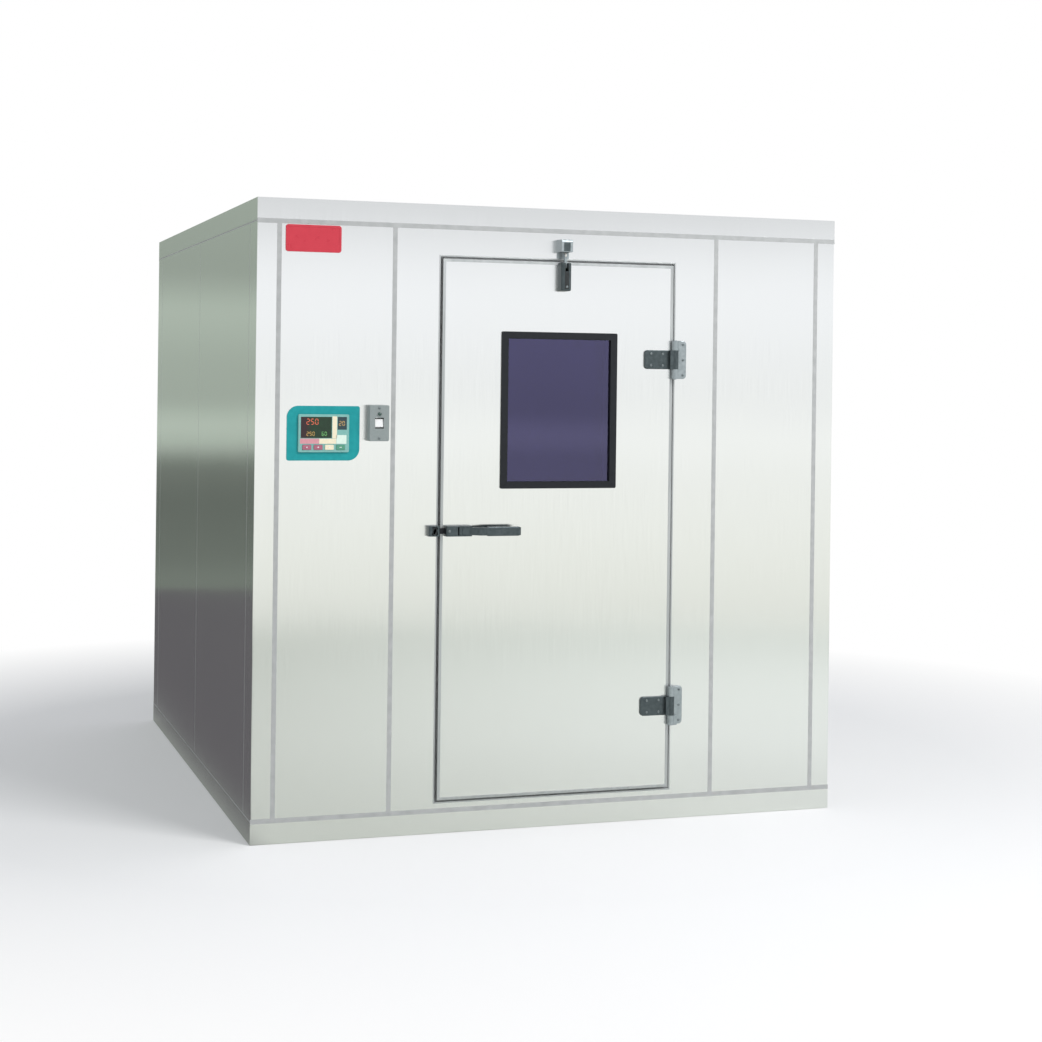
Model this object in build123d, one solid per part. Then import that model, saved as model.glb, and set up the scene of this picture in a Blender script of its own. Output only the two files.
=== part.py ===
"""A walk-in environmental test chamber: an insulated room of bolted-up sandwich panels with a flush door.

Frame: +X to the right seen from the front, +Y into the room, +Z up. The origin lies on the ground under
the middle of the walls' footprint, so the door is in the -Y face. All sizes are in millimetres.

The room is built as the real one is. A floor panel and a roof panel close four walls that stand on corner
posts. The walls are sandwich panels: an outer sheet pan, a foam core and an inner sheet pan. Behind the
narrow panel at the front left an insulated partition cuts off a plant space, with the condensing unit, the
steam humidifier and the electrical cabinet. Coil, heaters and fans stand behind a baffle at the rear.
"""

import math
import os

from build123d import *

# Enclosure
outer_width = 2280.0
outer_depth = 2560.0
outer_height = 2300.0
panel_thickness = 80.0
sheet = 1.0  # stainless sheet of every skin
skin_return = 15.0  # how far a skin is folded in along its edges
joint_gap = 5.0  # sealed joint between two panels
seal_recess = 4.0  # the seal lies this far behind the sheet
corner_leg = 140.0  # length of a corner post along the side wall
post_radius = 5.0  # rounded outer arris of a corner post
side_section = 425.0  # width of the service panel and of its twin at the right
side_wall_panels = 2
rear_wall_panels = 2

# Door leaf and its frame
leaf_width = 910.0
header_height = 118.0  # wall left above the leaf
sill_height = 42.0  # underside of the leaf above the floor panel
leaf_proud = 8.0  # leaf face in front of the wall face
leaf_lip_depth = 30.0  # thickness of the leaf's outer, wider part
leaf_lip = 30.0  # how far that part overlaps the frame
leaf_gap = 8.0  # open joint around the outer part
plug_gap = 8.0  # open joint around the inner part
carrier_thickness = 4.0
gasket_thickness = 6.0
gasket_width = 18.0
gasket_inset = 3.0
gasket_clearance = 0.3
frame_wall = 3.0
heater_groove = 5.0  # groove of the frame heater wire
heater_wire_inset = 12.0  # from the leaf's edge to that groove

# Window in the door
window_width = 456.0
window_height = 581.0
window_drop = 552.0  # from the leaf's top to the window's centre
window_trim = 26.0  # width of the frame seen on the leaf
glass_bite = 13.0  # how far the frame covers the glass
window_trim_thickness = 6.0
window_sleeve = 6.0
pane_thickness = 6.0
window_corner = 6.0

# Hinges
hinge_drop = 357.0  # from the leaf's top to the upper hinge's middle
hinge_rise = 310.0  # from the leaf's underside to the lower hinge's middle
hinge_offset = 5.0  # axis to the right of the leaf's edge
hinge_radius = 13.0
hinge_pin_radius = 6.0
hinge_pin_over = 2.0  # pin beyond each end of the knuckles
casting_corner = 14.0  # rounded corners of straps and flanges
casting_edge = 3.0  # rounded front edges of castings
strap_gap = 6.0  # from the leaf's edge to the strap plate
strap_neck = 12.0  # how far the neck runs under the knuckle
flange_gap = 8.0  # from the axis to the flange plate
running_clearance = 0.06
knuckle_gap = 0.5
strap_height = 72.0
strap_length = 117.0
strap_thickness = 8.0
flange_height = 145.0
flange_width = 44.0
flange_thickness = 9.0

# Latch with its pull lever
latch_z = 1107.0
latch_height = 38.0
latch_depth = 34.0
latch_plate = 4.0
latch_length = 100.0
latch_inset = 14.0
latch_pivot_reach = 56.0  # from the housing's outer end to the lever pivot
latch_pivot_depth = 24.0  # from the leaf face to the lever pivot
latch_pin_radius = 4.0
lever_boss_radius = 9.0
lever_thickness = 12.0
lever_grip_height = 34.0
lever_reach = 220.0
lever_stand_off = 32.0
finger_radius = 3.0
finger_web = 3.0
finger_reach = 16.0
finger_play = 2.0
latch_corner = 8.0
lever_play = 3.0  # free space round the lever's boss
lever_root = 8.0  # where the arm leaves the housing, inside its end
lever_crank = 26.0  # where the arm reaches its full stand-off, past the housing
lever_grip_start = 44.0
lever_fall = 2.0  # the arm leans out by this much towards its end
lever_bends = [16.0, 20.0]
grip_corner = 9.0
grip_edge = 4.0
bolt_height = 20.0
bolt_thickness = 9.0
bolt_clearance = 0.4
bolt_engagement = 6.0
bolt_guide = 12.0
strike_length = 39.0
strike_lip = 7.0
strike_play = 2.0  # between the bolt's nose and the lip
release_reach = 34.0  # from the lever pivot to the push rod
release_radius = 6.0
release_knob_radius = 26.0
release_knob_gap = 22.0
release_knob_depth = 20.0
release_knob_edge = 7.0
release_clearance = 0.5

# Hydraulic door closer
closer_x = 10.0
closer_width = 40.0
closer_height = 104.0
closer_depth = 42.0
closer_top_drop = 4.0
closer_pivot_drop = 20.0
closer_arm_length = 46.0
closer_arm_width = 10.0
closer_arm_thickness = 12.0
closer_corner = 12.0
closer_foot = 6.0  # rounded lower front edge
closer_floor = 5.0  # metal left behind the arm's slot
closer_pin_radius = 3.5
roller_pin_radius = 2.5
fork_wall = 2.0
fork_play = 0.3
hook_corner = 10.0
hook_roof = 12.0
roller_radius = 9.0
hook_wall = 4.0
hook_height = 70.0
hook_width = 46.0
hook_clearance = 2.0
hook_gap = 6.0

# Controls on the service panel
fascia_width = 266.0
fascia_height = 196.0
fascia_inset = 167.0  # from the service panel's left module line to the fascia's centre
fascia_centre_z = 1462.0
fascia_thickness = 3.0
fascia_big_radius = 42.0
fascia_small_radius = 8.0
bezel_width = 186.0
bezel_height = 136.0
bezel_thickness = 8.0
bezel_radius = 5.0
controller_depth = 90.0
controller_wall = 10.0  # bezel overlap round the controller's body
display_width = 113.0
display_height = 76.0
side_display_width = 34.0
side_display_height = 46.0
display_margin = 9.0
display_thickness = 2.0
key_width = 32.0
key_height = 18.0
key_pitch = 41.0
key_proud = 2.5
key_thickness = 5.0
key_travel = 1.2
key_clearance = 0.4
key_count = 4
key_corner = 3.0
key_well_play = 0.3  # free depth below a pressed key
lens_recess = 0.5  # display faces behind the bezel's face
switch_inset = 61.0  # from the service panel's right module line to the switch's centre
switch_centre_z = 1500.0
switch_width = 74.0
switch_height = 130.0
switch_depth = 40.0
switch_wall = 3.0
switch_corner = 6.0
switch_wire_drop = 40.0  # from the switch's centre down to its wire hole
switch_wire_radius = 12.0
rocker_lug = 4.0
rocker_axle_depth = 9.0  # axle behind the box's face
rocker_rim = 7.0  # cap's high ends and its middle above the axle
rocker_middle = 4.0
rocker_skirt = 5.0
rocker_width = 30.0
rocker_height = 36.0
rocker_axle_radius = 2.5
rocker_swing = 14.0

# Plant space
condenser_width = 360.0
condenser_height = 440.0
condenser_depth = 60.0
condenser_fan_radius = 150.0
unit_base_height = 40.0
unit_front = 160.0  # base tray in front of the compressor's axis
unit_back = 10.0
condenser_gap = 30.0  # from the condenser to the louvred panel
compressor_spacing = 330.0
shroud_sheet = 3.0
rail_width = 40.0
rail_inset = 20.0
compressor_radius = 95.0
compressor_height = 300.0
compressor_foot = 20.0
compressor_seam = 5.0
compressor_pad = 12.0
terminal_depth = 34.0
terminal_width = 60.0
terminal_height = 90.0
boiler_radius = 90.0
boiler_height = 360.0
boiler_foot = 30.0
boiler_edge = 20.0
boiler_band = 14.0
boiler_band_thickness = 3.0
boiler_leg_radius = 9.0
steam_rise = 260.0  # top of the steam pipe's loop above the pass
steam_reach = 120.0  # how far it stands into the room
steam_bend = 45.0
boiler_y = -250.0
pipe_radius = 9.5
thin_pipe_radius = 6.0
discharge_offset = 30.0  # pipes beside the middle of the plant space
liquid_offset = 110.0
suction_offset = 40.0
discharge_rise = 90.0
liquid_turn = 160.0
suction_turn = 80.0
thin_bend = 28.0
liquid_pass = 90.0  # from the rear wall to each pipe's pass through the partition
suction_pass = 140.0
steam_pass = 115.0
coil_pass_rise = 60.0
steam_pass_rise = 200.0
liquid_bend = 24.0
suction_bend = 40.0
cabinet_width = 420.0
cabinet_height = 560.0
cabinet_depth = 180.0
cabinet_base_z = 1200.0
cabinet_from_wall = 120.0
cabinet_corner = 8.0
cabinet_lid = 14.0
cabinet_lid_over = 6.0
cabinet_glands = 4
cabinet_gland_radius = 11.0
cabinet_gland_length = 16.0
louvre_count = 14
louvre_pitch = 34.0
louvre_width = 300.0
louvre_slot = 9.0
louvre_depth = 14.0
louvre_margin = 20.0
louvre_fall = 6.0  # the hood's outer edge below its top
louvre_edge = 9.0
louvre_root = 20.0
louvre_rise = 8.0  # hood's top above its slot
louvre_sheet = 1.5
louvre_end = 4.0

# Conditioning plenum
plenum_depth = 300.0
baffle_sheet = 1.5
baffle_base_z = 380.0
baffle_foot = 25.0
return_slots = 10
return_rows = 3
return_slot = 14.0
return_pitch = 45.0
return_rise = 90.0  # lowest row of slots above the baffle's foot
fan_radius = 118.0
fan_hub_radius = 34.0
fan_hub_depth = 44.0
fan_blades = 5
fan_chord = 78.0
condenser_fan_chord = 90.0
blade_root_angle = 48.0
blade_tip_angle = 24.0
blade_root_thickness = 4.0
blade_tip_thickness = 2.6
fan_hole_clearance = 8.0
fan_rim_depth = 50.0
shaft_radius = 5.0
shaft_short = 3.0  # the shaft ends inside the hub's far face
motor_radius = 30.0
motor_length = 60.0
motor_gap = 4.0
motor_edge = 5.0
bridge_offset = 20.0  # bridge bar behind the motor's near end
bridge_width = 24.0
bridge_thickness = 6.0
bridge_leg = 4.0
bridge_over = 12.0  # bridge legs outside the fan's rim
fan_drop = 370.0  # from the ceiling to the fans' axes
fan_spacing = 700.0
coil_width = 1100.0
coil_height = 420.0
coil_depth = 180.0
coil_fan_gap = 480.0  # from the fans' axes down to the coil
coil_stand_off = 5.0
tray_side = 15.0
tray_front = 20.0
tray_drop = 14.0  # tray's floor below the coil
tray_wall = 20.0
bearer_width = 16.0
bearer_inset = 60.0
coil_fins_drawn = 23
condenser_fins_drawn = 17
coil_bends = 5
pipe_clearance = 0.5
fin_thickness = 2.0
coil_bank = 20.0
return_bend = 20.0
heater_radius = 6.0
heater_length = 1250.0
heater_count = 3
heater_pitch = 45.0
heater_gap = 90.0  # from the coil up to the lowest element
heater_margin = 30.0
heater_box = 60.0
heater_front = 60.0
heater_back = 40.0
heater_end = 40.0
heater_hairpin = 70.0  # width of a hairpin
heater_bend = 30.0

# Storage rack, lamp, port, drain and cable gland
rack_depth = 440.0
rack_length = 1500.0
rack_height = 1750.0
rack_shelves = 4
rack_post = 30.0
rack_side_gap = 20.0  # from the right wall
rack_end_gap = 60.0  # from the baffle
rack_clear = 150.0  # under the lowest shelf
slat_width = 12.0
slat_thickness = 8.0
shelf_thickness = 25.0
shelf_slats = 9
shelf_rim = 14.0
lamp_radius = 110.0
lamp_base = 18.0
lamp_base_edge = 5.0
lamp_dome = 48.0
lamp_dome_edge = 30.0
lamp_rim = 12.0
port_radius = 25.0
port_y = -950.0
port_z = 1300.0
port_flange_radius = 48.0
port_inner_flange = 6.0
port_outer_flange = 8.0
sleeve_wall = 3.0
drain_radius = 14.0
drain_stub = 60.0
drain_hose_radius = 12.0
drain_hose_length = 48.0  # reduced end that a hose is pushed over
drain_from_wall = 160.0
tundish_radius = 34.0
tundish_height = 90.0
tundish_gap = 70.0  # from the rear wall to the cup's inside
tundish_offset = 85.0  # from the rear wall to the cup's axis
drain_offset = 10.0  # the cup's middle above the pipe
drain_leg_radius = 10.0
fall_radius = 9.0
fall_bore = 7.0
fall_gap = 15.0  # air gap between the fall pipe and the cup
drain_height = 70.0
gland_radius = 9.0
gland_length = 45.0
gland_nut = 20.0  # half the width over corners
gland_nut_height = 12.0
gland_nut_back = 8.0
gland_thread = 14.0
gland_dome = 15.0
gland_from_wall = 90.0
gland_z = 1725.0

# Faces and module lines that follow from the driving sizes
left, right = -outer_width / 2, outer_width / 2
front, rear = -outer_depth / 2, outer_depth / 2
inner_left, inner_right = left + panel_thickness, right - panel_thickness
inner_front, inner_rear = front + panel_thickness, rear - panel_thickness
floor_top, roof_under = panel_thickness, outer_height - panel_thickness
wall_z = (floor_top + joint_gap, roof_under - joint_gap)
service_line = inner_left + side_section
twin_line = inner_right - side_section
room_left = service_line + panel_thickness

fascia_centre_x = inner_left + fascia_inset
switch_centre_x = service_line - switch_inset

leaf_x = (-leaf_width / 2, leaf_width / 2)
leaf_z = (floor_top + sill_height, roof_under - header_height)
window_centre_z = leaf_z[1] - window_drop
hinge_heights = (leaf_z[1] - hinge_drop, leaf_z[0] + hinge_rise)
leaf_front = front - leaf_proud
leaf_step = leaf_front + leaf_lip_depth
rebate_y = leaf_step + gasket_thickness + gasket_clearance

hinge_x = leaf_x[1] + hinge_offset
hinge_y = leaf_front - hinge_radius - 1.0
latch_x = (leaf_x[0] + latch_inset, leaf_x[0] + latch_inset + latch_length)
pivot_x = latch_x[0] + latch_pivot_reach
pivot_y = leaf_front - latch_pivot_depth
release_x = pivot_x + release_reach
strike_edge = leaf_x[0] - leaf_gap - 1.0
plenum_y = inner_rear - plenum_depth
fan_height = roof_under - fan_drop
coil_base_z = fan_height - coil_fan_gap - coil_height
drain_x = inner_right - drain_from_wall
drain_z = floor_top + drain_height
tundish_y = inner_rear - tundish_offset
gland_x = inner_left + gland_from_wall


def block(x, y, z):
    """A rectangular solid that fills three (low, high) ranges."""
    spans = (x, y, z)
    middle = [(low + high) / 2 for low, high in spans]
    return Pos(*middle) * Box(*[high - low for low, high in spans])


def shrink(span, by):
    """The range with the same amount taken off both ends."""
    return (span[0] + by, span[1] - by)


def module(low, high):
    """A panel's range between two module lines: half a joint is left free at each."""
    return shrink((low, high), joint_gap / 2)


def modules(low, high, count):
    """Equal panel ranges between two module lines."""
    width = (high - low) / count
    return [module(low + width * i, low + width * (i + 1)) for i in range(count)]


def pan(x, y, z, face, depth=skin_return):
    """A sheet folded into a shallow pan: its flat face on one side of the ranges, edges turned in."""
    spans = [tuple(x), tuple(y), tuple(z)]
    axis = "xyz".index(face[1])
    low, high = spans[axis]
    shell, hollow = list(spans), [shrink(s, sheet) for s in spans]
    if face[0] == "-":
        shell[axis], hollow[axis] = (low, low + depth), (low + sheet, low + depth + 1)
    else:
        shell[axis], hollow[axis] = (high - depth, high), (high - depth - 1, high - sheet)
    return block(*shell) - block(*hollow)


def sandwich(x, y, z, face):
    """Outer pan, inner pan and core of one insulated panel whose outer side is the named face."""
    other = ("+" if face[0] == "-" else "-") + face[1]
    core = block(*[shrink(s, sheet) for s in (x, y, z)])
    return pan(x, y, z, face), pan(x, y, z, other), core


def ring(x, y, z, hole_x, hole_z):
    """A frame in the wall's plane: a block with a rectangular hole straight through along Y."""
    return block(x, y, z) - block(hole_x, (y[0] - 1, y[1] + 1), hole_z)


def rod(start, end, radius):
    """A round bar between two points."""
    a, b = Vector(*start), Vector(*end)
    plane = Plane(origin=a, z_dir=b - a)
    return extrude(plane * Circle(radius), (b - a).length)


def bore_y(x, z, radius, y):
    """A cutter for a round hole along Y over the range y."""
    return rod((x, y[0], z), (x, y[1], z), radius)


def bent_tube(points, radius, bend):
    """A pipe of solid section along straight runs joined by tangent bends."""
    path = FilletPolyline(*points, radius=bend)
    return sweep(Plane(origin=path @ 0, z_dir=path % 0) * Circle(radius), path=path)


def group(*shapes):
    """Several separate solids that belong to one node."""
    solids = [solid for shape in shapes for solid in shape.solids()]
    return Compound(children=solids)


def axial_rotor(tip_radius, chord):
    """A fan rotor about the Y axis: a hub bored for its shaft and twisted blades, steeper at the root."""
    hub = Rot(90, 0, 0) * Cylinder(fan_hub_radius, fan_hub_depth)
    hub = fillet(hub.edges().filter_by(GeomType.CIRCLE), fan_hub_radius * 0.25)
    root = Plane(origin=(0, 0, fan_hub_radius * 0.8), z_dir=(0, 0, 1)) * Rot(0, 0, blade_root_angle)
    tip = Plane(origin=(0, 0, tip_radius), z_dir=(0, 0, 1)) * Rot(0, 0, blade_tip_angle)
    inner = root * Rectangle(chord * 0.62, blade_root_thickness)
    outer = tip * Rectangle(chord, blade_tip_thickness)
    blade = loft([inner, outer])
    rotor = hub.fuse(*[Rot(0, 360 / fan_blades * i, 0) * blade for i in range(fan_blades)])
    return rotor - Rot(90, 0, 0) * Cylinder(shaft_radius + running_clearance, fan_hub_depth + 2)


def fan_motor(x, rotor_y, z, face_y, reach):
    """A motor on a bridge that stands on a sheet's face, with its shaft through the rotor's hub."""
    side = 1 if face_y < rotor_y else -1
    near = rotor_y + side * (fan_hub_depth / 2 + motor_gap)
    can = rod((x, near, z), (x, near + side * motor_length, z), motor_radius)
    can = fillet(can.edges().filter_by(GeomType.CIRCLE), motor_edge)
    shaft = rod((x, near, z), (x, rotor_y - side * (fan_hub_depth / 2 - shaft_short), z), shaft_radius)
    far, level = reach + bridge_leg, (z - bridge_width / 2, z + bridge_width / 2)
    bar_y = sorted((near + side * bridge_offset, near + side * (bridge_offset + bridge_thickness)))
    bar = block((x - far, x + far), bar_y, level)
    leg_y = sorted((face_y, near + side * (bridge_offset + bridge_thickness / 2)))
    legs = [block(sorted((x + way * reach, x + way * far)), leg_y, level) for way in (-1, 1)]
    return can.fuse(shaft, bar, *legs)


def finned_coil(x, y, z, fins, bends):
    """A finned block: end plates, fins on both sides of the tube bank and return bends at the right end."""
    middle_y = (y[0] + y[1]) / 2
    bank = block(x, (middle_y - coil_bank / 2, middle_y + coil_bank / 2), shrink(z, fin_thickness))
    pitch = (x[1] - x[0] - fin_thickness) / (fins + 1)
    plates = [block((x[0] + pitch * i, x[0] + pitch * i + fin_thickness), y, z) for i in range(fins + 2)]
    arcs = []
    for i in range(bends):
        centre_z = z[0] + (z[1] - z[0]) * (i + 0.5) / bends
        path = Plane.XZ * CenterArc((0, 0), return_bend, -90, 180)
        section = Plane(origin=path @ 0, z_dir=path % 0) * Circle(thin_pipe_radius)
        arcs.append(Pos(x[1] - 1.0, middle_y, centre_z) * sweep(section, path=path))
    return bank.fuse(*plates, *arcs)


# Where the plant's pipes go through the partition: (y, z, radius)
partition_passes = (
    (inner_rear - liquid_pass, coil_base_z + coil_pass_rise, thin_pipe_radius),
    (inner_rear - suction_pass, coil_base_z + coil_pass_rise, pipe_radius),
    (inner_rear - steam_pass, baffle_base_z + steam_pass_rise, pipe_radius),
)


def floor_panel():
    """A tray with full-height sides, its foam and the walkable top sheet."""
    x, y = (left, right), (front, rear)
    tray = pan(x, y, (0, floor_top), "-z", floor_top - sheet)
    top = block(x, y, (floor_top - sheet, floor_top))
    core = block(shrink(x, sheet), shrink(y, sheet), (sheet, floor_top - sheet))
    return tray, top, core


def roof_panel():
    """A lid with full-depth sides, its foam and the flat ceiling sheet."""
    x, y = (left, right), (front, rear)
    lid = pan(x, y, (roof_under, outer_height), "+z", panel_thickness - sheet)
    ceiling = block(x, y, (roof_under, roof_under + sheet))
    core = block(shrink(x, sheet), shrink(y, sheet), (roof_under + sheet, outer_height - sheet))
    return lid, ceiling, core


def corner_post(side, end):
    """A folded post tube at one corner, and the foam inside it. side and end are -1 or +1."""
    x_outer, x_inner = side * outer_width / 2, side * (outer_width / 2 - panel_thickness + joint_gap / 2)
    y_outer, y_inner = end * outer_depth / 2, end * (outer_depth / 2 - corner_leg + joint_gap / 2)
    x, y = sorted((x_outer, x_inner)), sorted((y_outer, y_inner))
    post = block(x, y, wall_z)
    arris = post.edges().filter_by(Axis.Z).sort_by_distance((x_outer, y_outer, outer_height / 2))[0]
    post = fillet(arris, post_radius)
    hollow = block(shrink(x, sheet), shrink(y, sheet), (wall_z[0] - 1, wall_z[1] + 1))
    inside = hollow.edges().filter_by(Axis.Z).sort_by_distance((x_outer, y_outer, outer_height / 2))[0]
    hollow = fillet(inside, post_radius - sheet)
    core = hollow & block(x, y, wall_z)
    return post - hollow, core


def side_wall(side):
    """The two sandwich panels of the left (-1) or right (+1) wall."""
    x = (left, inner_left) if side < 0 else (inner_right, right)
    face = "-x" if side < 0 else "+x"
    runs = modules(front + corner_leg, rear - corner_leg, side_wall_panels)
    return [sandwich(x, y, wall_z, face) for y in runs]


def rear_wall():
    """The sandwich panels behind the room. The plant space has its own louvred panel."""
    runs = modules(service_line, inner_right, rear_wall_panels)
    return [sandwich(x, (inner_rear, rear), wall_z, "+y") for x in runs]


def partition():
    """The insulated wall between the plant space and the room, with its pipe holes."""
    x = (service_line, room_left)
    y = shrink((inner_front, inner_rear), joint_gap / 2)
    pieces = sandwich(x, y, wall_z, "-x")
    cut = Compound(children=[
        rod((x[0] - 1, pass_y, pass_z), (x[1] + 1, pass_y, pass_z), radius + 1.0)
        for pass_y, pass_z, radius in partition_passes
    ])
    return [piece - cut for piece in pieces]


def port_cut():
    """The round hole for the cable port's sleeve through the right wall."""
    radius = port_radius + sleeve_wall + pipe_clearance
    return rod((inner_right - 1, port_y, port_z), (right + 1, port_y, port_z), radius)


def drain_cut():
    """The hole for the drain pipe through the rear wall."""
    return bore_y(drain_x, drain_z, drain_radius + pipe_clearance, (inner_rear - 1, rear + 1))


def service_panel():
    """The single-skin pan at the front left, cut out for the controller and the mains switch."""
    x, y = module(inner_left, service_line), (front, inner_front)
    skin = pan(x, y, wall_z, "-y", 2 * skin_return)
    body_x, _, body_z = controller_body_spans(1.0)
    skin -= block(body_x, (front - 1, front + 2 * sheet), body_z)
    wires = bore_y(switch_centre_x, switch_centre_z - switch_wire_drop, switch_wire_radius,
                   (front - 1, front + 2 * sheet))
    return skin - wires


def controller_body_spans(clearance=0.0):
    """Ranges of the controller's body behind its bezel, grown by a clearance."""
    half_x = bezel_width / 2 - controller_wall + clearance
    half_z = bezel_height / 2 - controller_wall + clearance
    x = (fascia_centre_x - half_x, fascia_centre_x + half_x)
    z = (fascia_centre_z - half_z, fascia_centre_z + half_z)
    return x, (front - fascia_thickness, front + controller_depth), z


def louvre_panel():
    """The single-skin pan behind the plant space, with hooded louvres pressed out over the condenser."""
    x, y = module(inner_left, service_line), (inner_rear, rear)
    skin = pan(x, y, wall_z, "+y", 2 * skin_return)
    middle = (x[0] + x[1]) / 2
    low = unit_top + louvre_margin
    outline = Polyline((-sheet / 2, 0), (louvre_depth, -louvre_fall), (louvre_depth, -louvre_edge),
                       (-sheet / 2, -louvre_root), close=True)
    face = make_face(outline)
    hood = extrude(Plane.YZ * face, louvre_width / 2, both=True)
    core = extrude(Plane.YZ * face, louvre_width / 2 - louvre_sheet, both=True)
    hollow = Pos(0, -louvre_sheet, -louvre_sheet - sheet) * core
    louvre = hood - hollow
    hoods = [Pos(middle, rear, low + louvre_pitch * i + louvre_rise) * louvre for i in range(louvre_count)]
    slot_x = (middle - louvre_width / 2 + louvre_end, middle + louvre_width / 2 - louvre_end)
    slots = [
        block(slot_x, (rear - 2 * sheet, rear + 0.01),
              (low + louvre_pitch * i - louvre_slot, low + louvre_pitch * i))
        for i in range(louvre_count)
    ]
    thread = gland_radius + sleeve_wall + pipe_clearance
    gland_hole = bore_y(gland_x, gland_z, thread, (rear - 2 * sheet, rear + 1))
    return skin.fuse(*hoods) - Compound(children=slots) - gland_hole


def door_surround():
    """Skins and the four cores of the wide front panel that carries the door frame."""
    x, y = module(service_line, twin_line), (front, inner_front)
    recess_x = shrink(leaf_x, -leaf_gap)
    recess_z = shrink(leaf_z, -leaf_gap)
    clear_x, clear_z = door_opening()
    outer = pan(x, y, wall_z, "-y") - block(recess_x, (front - 1, front + 2 * sheet), recess_z)
    inner = pan(x, y, wall_z, "+y") - block(clear_x, (inner_front - 2 * sheet, inner_front + 1), clear_z)
    hole_x, hole_z = shrink(recess_x, -frame_wall), shrink(recess_z, -frame_wall)
    in_x, in_y, in_z = shrink(x, sheet), shrink(y, sheet), shrink(wall_z, sheet)
    cores = [
        block((in_x[0], hole_x[0]), in_y, in_z),
        block((hole_x[1], in_x[1]), in_y, in_z),
        block(hole_x, in_y, (hole_z[1], in_z[1])),
        block(hole_x, in_y, (in_z[0], hole_z[0])),
    ]
    return outer, inner, cores


def door_opening():
    """Ranges of the clear opening through the frame."""
    inset = leaf_lip - plug_gap
    return shrink(leaf_x, inset), shrink(leaf_z, inset)


def door_frame():
    """Two jambs, a head and a sill with the rebate that the gasket closes on."""
    recess_x, recess_z = shrink(leaf_x, -leaf_gap), shrink(leaf_z, -leaf_gap)
    outer_x, outer_z = shrink(recess_x, -frame_wall), shrink(recess_z, -frame_wall)
    clear_x, clear_z = door_opening()
    lip_y, deep_y = (front + sheet, rebate_y), (rebate_y, inner_front - sheet)
    groove_y = (rebate_y - 1, rebate_y + heater_groove)
    wire = (shrink(leaf_x, heater_wire_inset), shrink(leaf_z, heater_wire_inset))
    groove = ring(shrink(wire[0], -heater_groove), groove_y, shrink(wire[1], -heater_groove), *wire)
    jambs = [
        block((outer_x[0], recess_x[0]), lip_y, outer_z) + block((outer_x[0], clear_x[0]), deep_y, outer_z),
        block((recess_x[1], outer_x[1]), lip_y, outer_z) + block((clear_x[1], outer_x[1]), deep_y, outer_z),
    ]
    head = block(recess_x, lip_y, (recess_z[1], outer_z[1]))
    head += block(clear_x, deep_y, (clear_z[1], outer_z[1]))
    sill = block(recess_x, lip_y, (outer_z[0], recess_z[0]))
    sill += block(clear_x, deep_y, (outer_z[0], clear_z[0]))
    return group(*[piece - groove for piece in (*jambs, head, sill)])


def level_seals():
    """The sealed joints under and over the walls: a ring round the room and a strip along the partition."""
    strips = []
    for z in ((floor_top, wall_z[0]), (wall_z[1], roof_under)):
        outer = block(shrink((left, right), seal_recess), shrink((front, rear), seal_recess), z)
        inset = panel_thickness - seal_recess
        hole = block(shrink((left, right), inset), shrink((front, rear), inset), (z[0] - 1, z[1] + 1))
        strips.append(outer - hole)
        strips.append(block(shrink((service_line, room_left), seal_recess), (inner_front, inner_rear), z))
    return strips


def upright_seals():
    """Strips in the upright joints, as deep as the panels less the recess at both faces."""
    half = joint_gap / 2
    strips = []
    for line in (inner_left, service_line, twin_line, inner_right):
        strips.append(block((line - half, line + half), shrink((front, inner_front), seal_recess), wall_z))
    middle = (service_line + inner_right) / 2
    for line in (inner_left, service_line, middle, inner_right):
        strips.append(block((line - half, line + half), shrink((inner_rear, rear), seal_recess), wall_z))
    for x in ((left, inner_left), (inner_right, right)):
        for y in (front + corner_leg, 0.0, rear - corner_leg):
            strips.append(block(shrink(x, seal_recess), (y - half, y + half), wall_z))
    return strips


def door_leaf():
    """Outer pan, inner pan, core slabs and the plastic edge profile that joins the two pans."""
    x, z = leaf_x, leaf_z
    plug_x, plug_z = shrink(x, leaf_lip), shrink(z, leaf_lip)
    cut_x, cut_z = window_spans(window_trim - glass_bite)
    outer = pan(x, (leaf_front, inner_front), z, "-y", leaf_lip_depth)
    inner = pan(plug_x, (leaf_step, inner_front), plug_z, "+y", inner_front - leaf_step)
    slab_y = (leaf_front + sheet, leaf_step - carrier_thickness)
    plug_y = (leaf_step - carrier_thickness, inner_front - sheet)
    slab = block(shrink(x, sheet), slab_y, shrink(z, sheet))
    plug = block(shrink(plug_x, sheet), plug_y, shrink(plug_z, sheet))
    carrier = ring(shrink(x, sheet), (leaf_step - carrier_thickness, leaf_step), shrink(z, sheet),
                   shrink(plug_x, sheet), shrink(plug_z, sheet))
    through = block(cut_x, (leaf_front - 1, inner_front + 1), cut_z)
    release = bore_y(release_x, latch_z, release_radius + 1.0, (leaf_front - 1, inner_front + 1))
    return [piece - through - release for piece in (outer, inner, slab, plug)] + [carrier]


def window_spans(inset):
    """Ranges of a rectangle that lies this far inside the window frame's outline."""
    half_x, half_z = window_width / 2 - inset, window_height / 2 - inset
    return (-half_x, half_x), (window_centre_z - half_z, window_centre_z + half_z)


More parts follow.
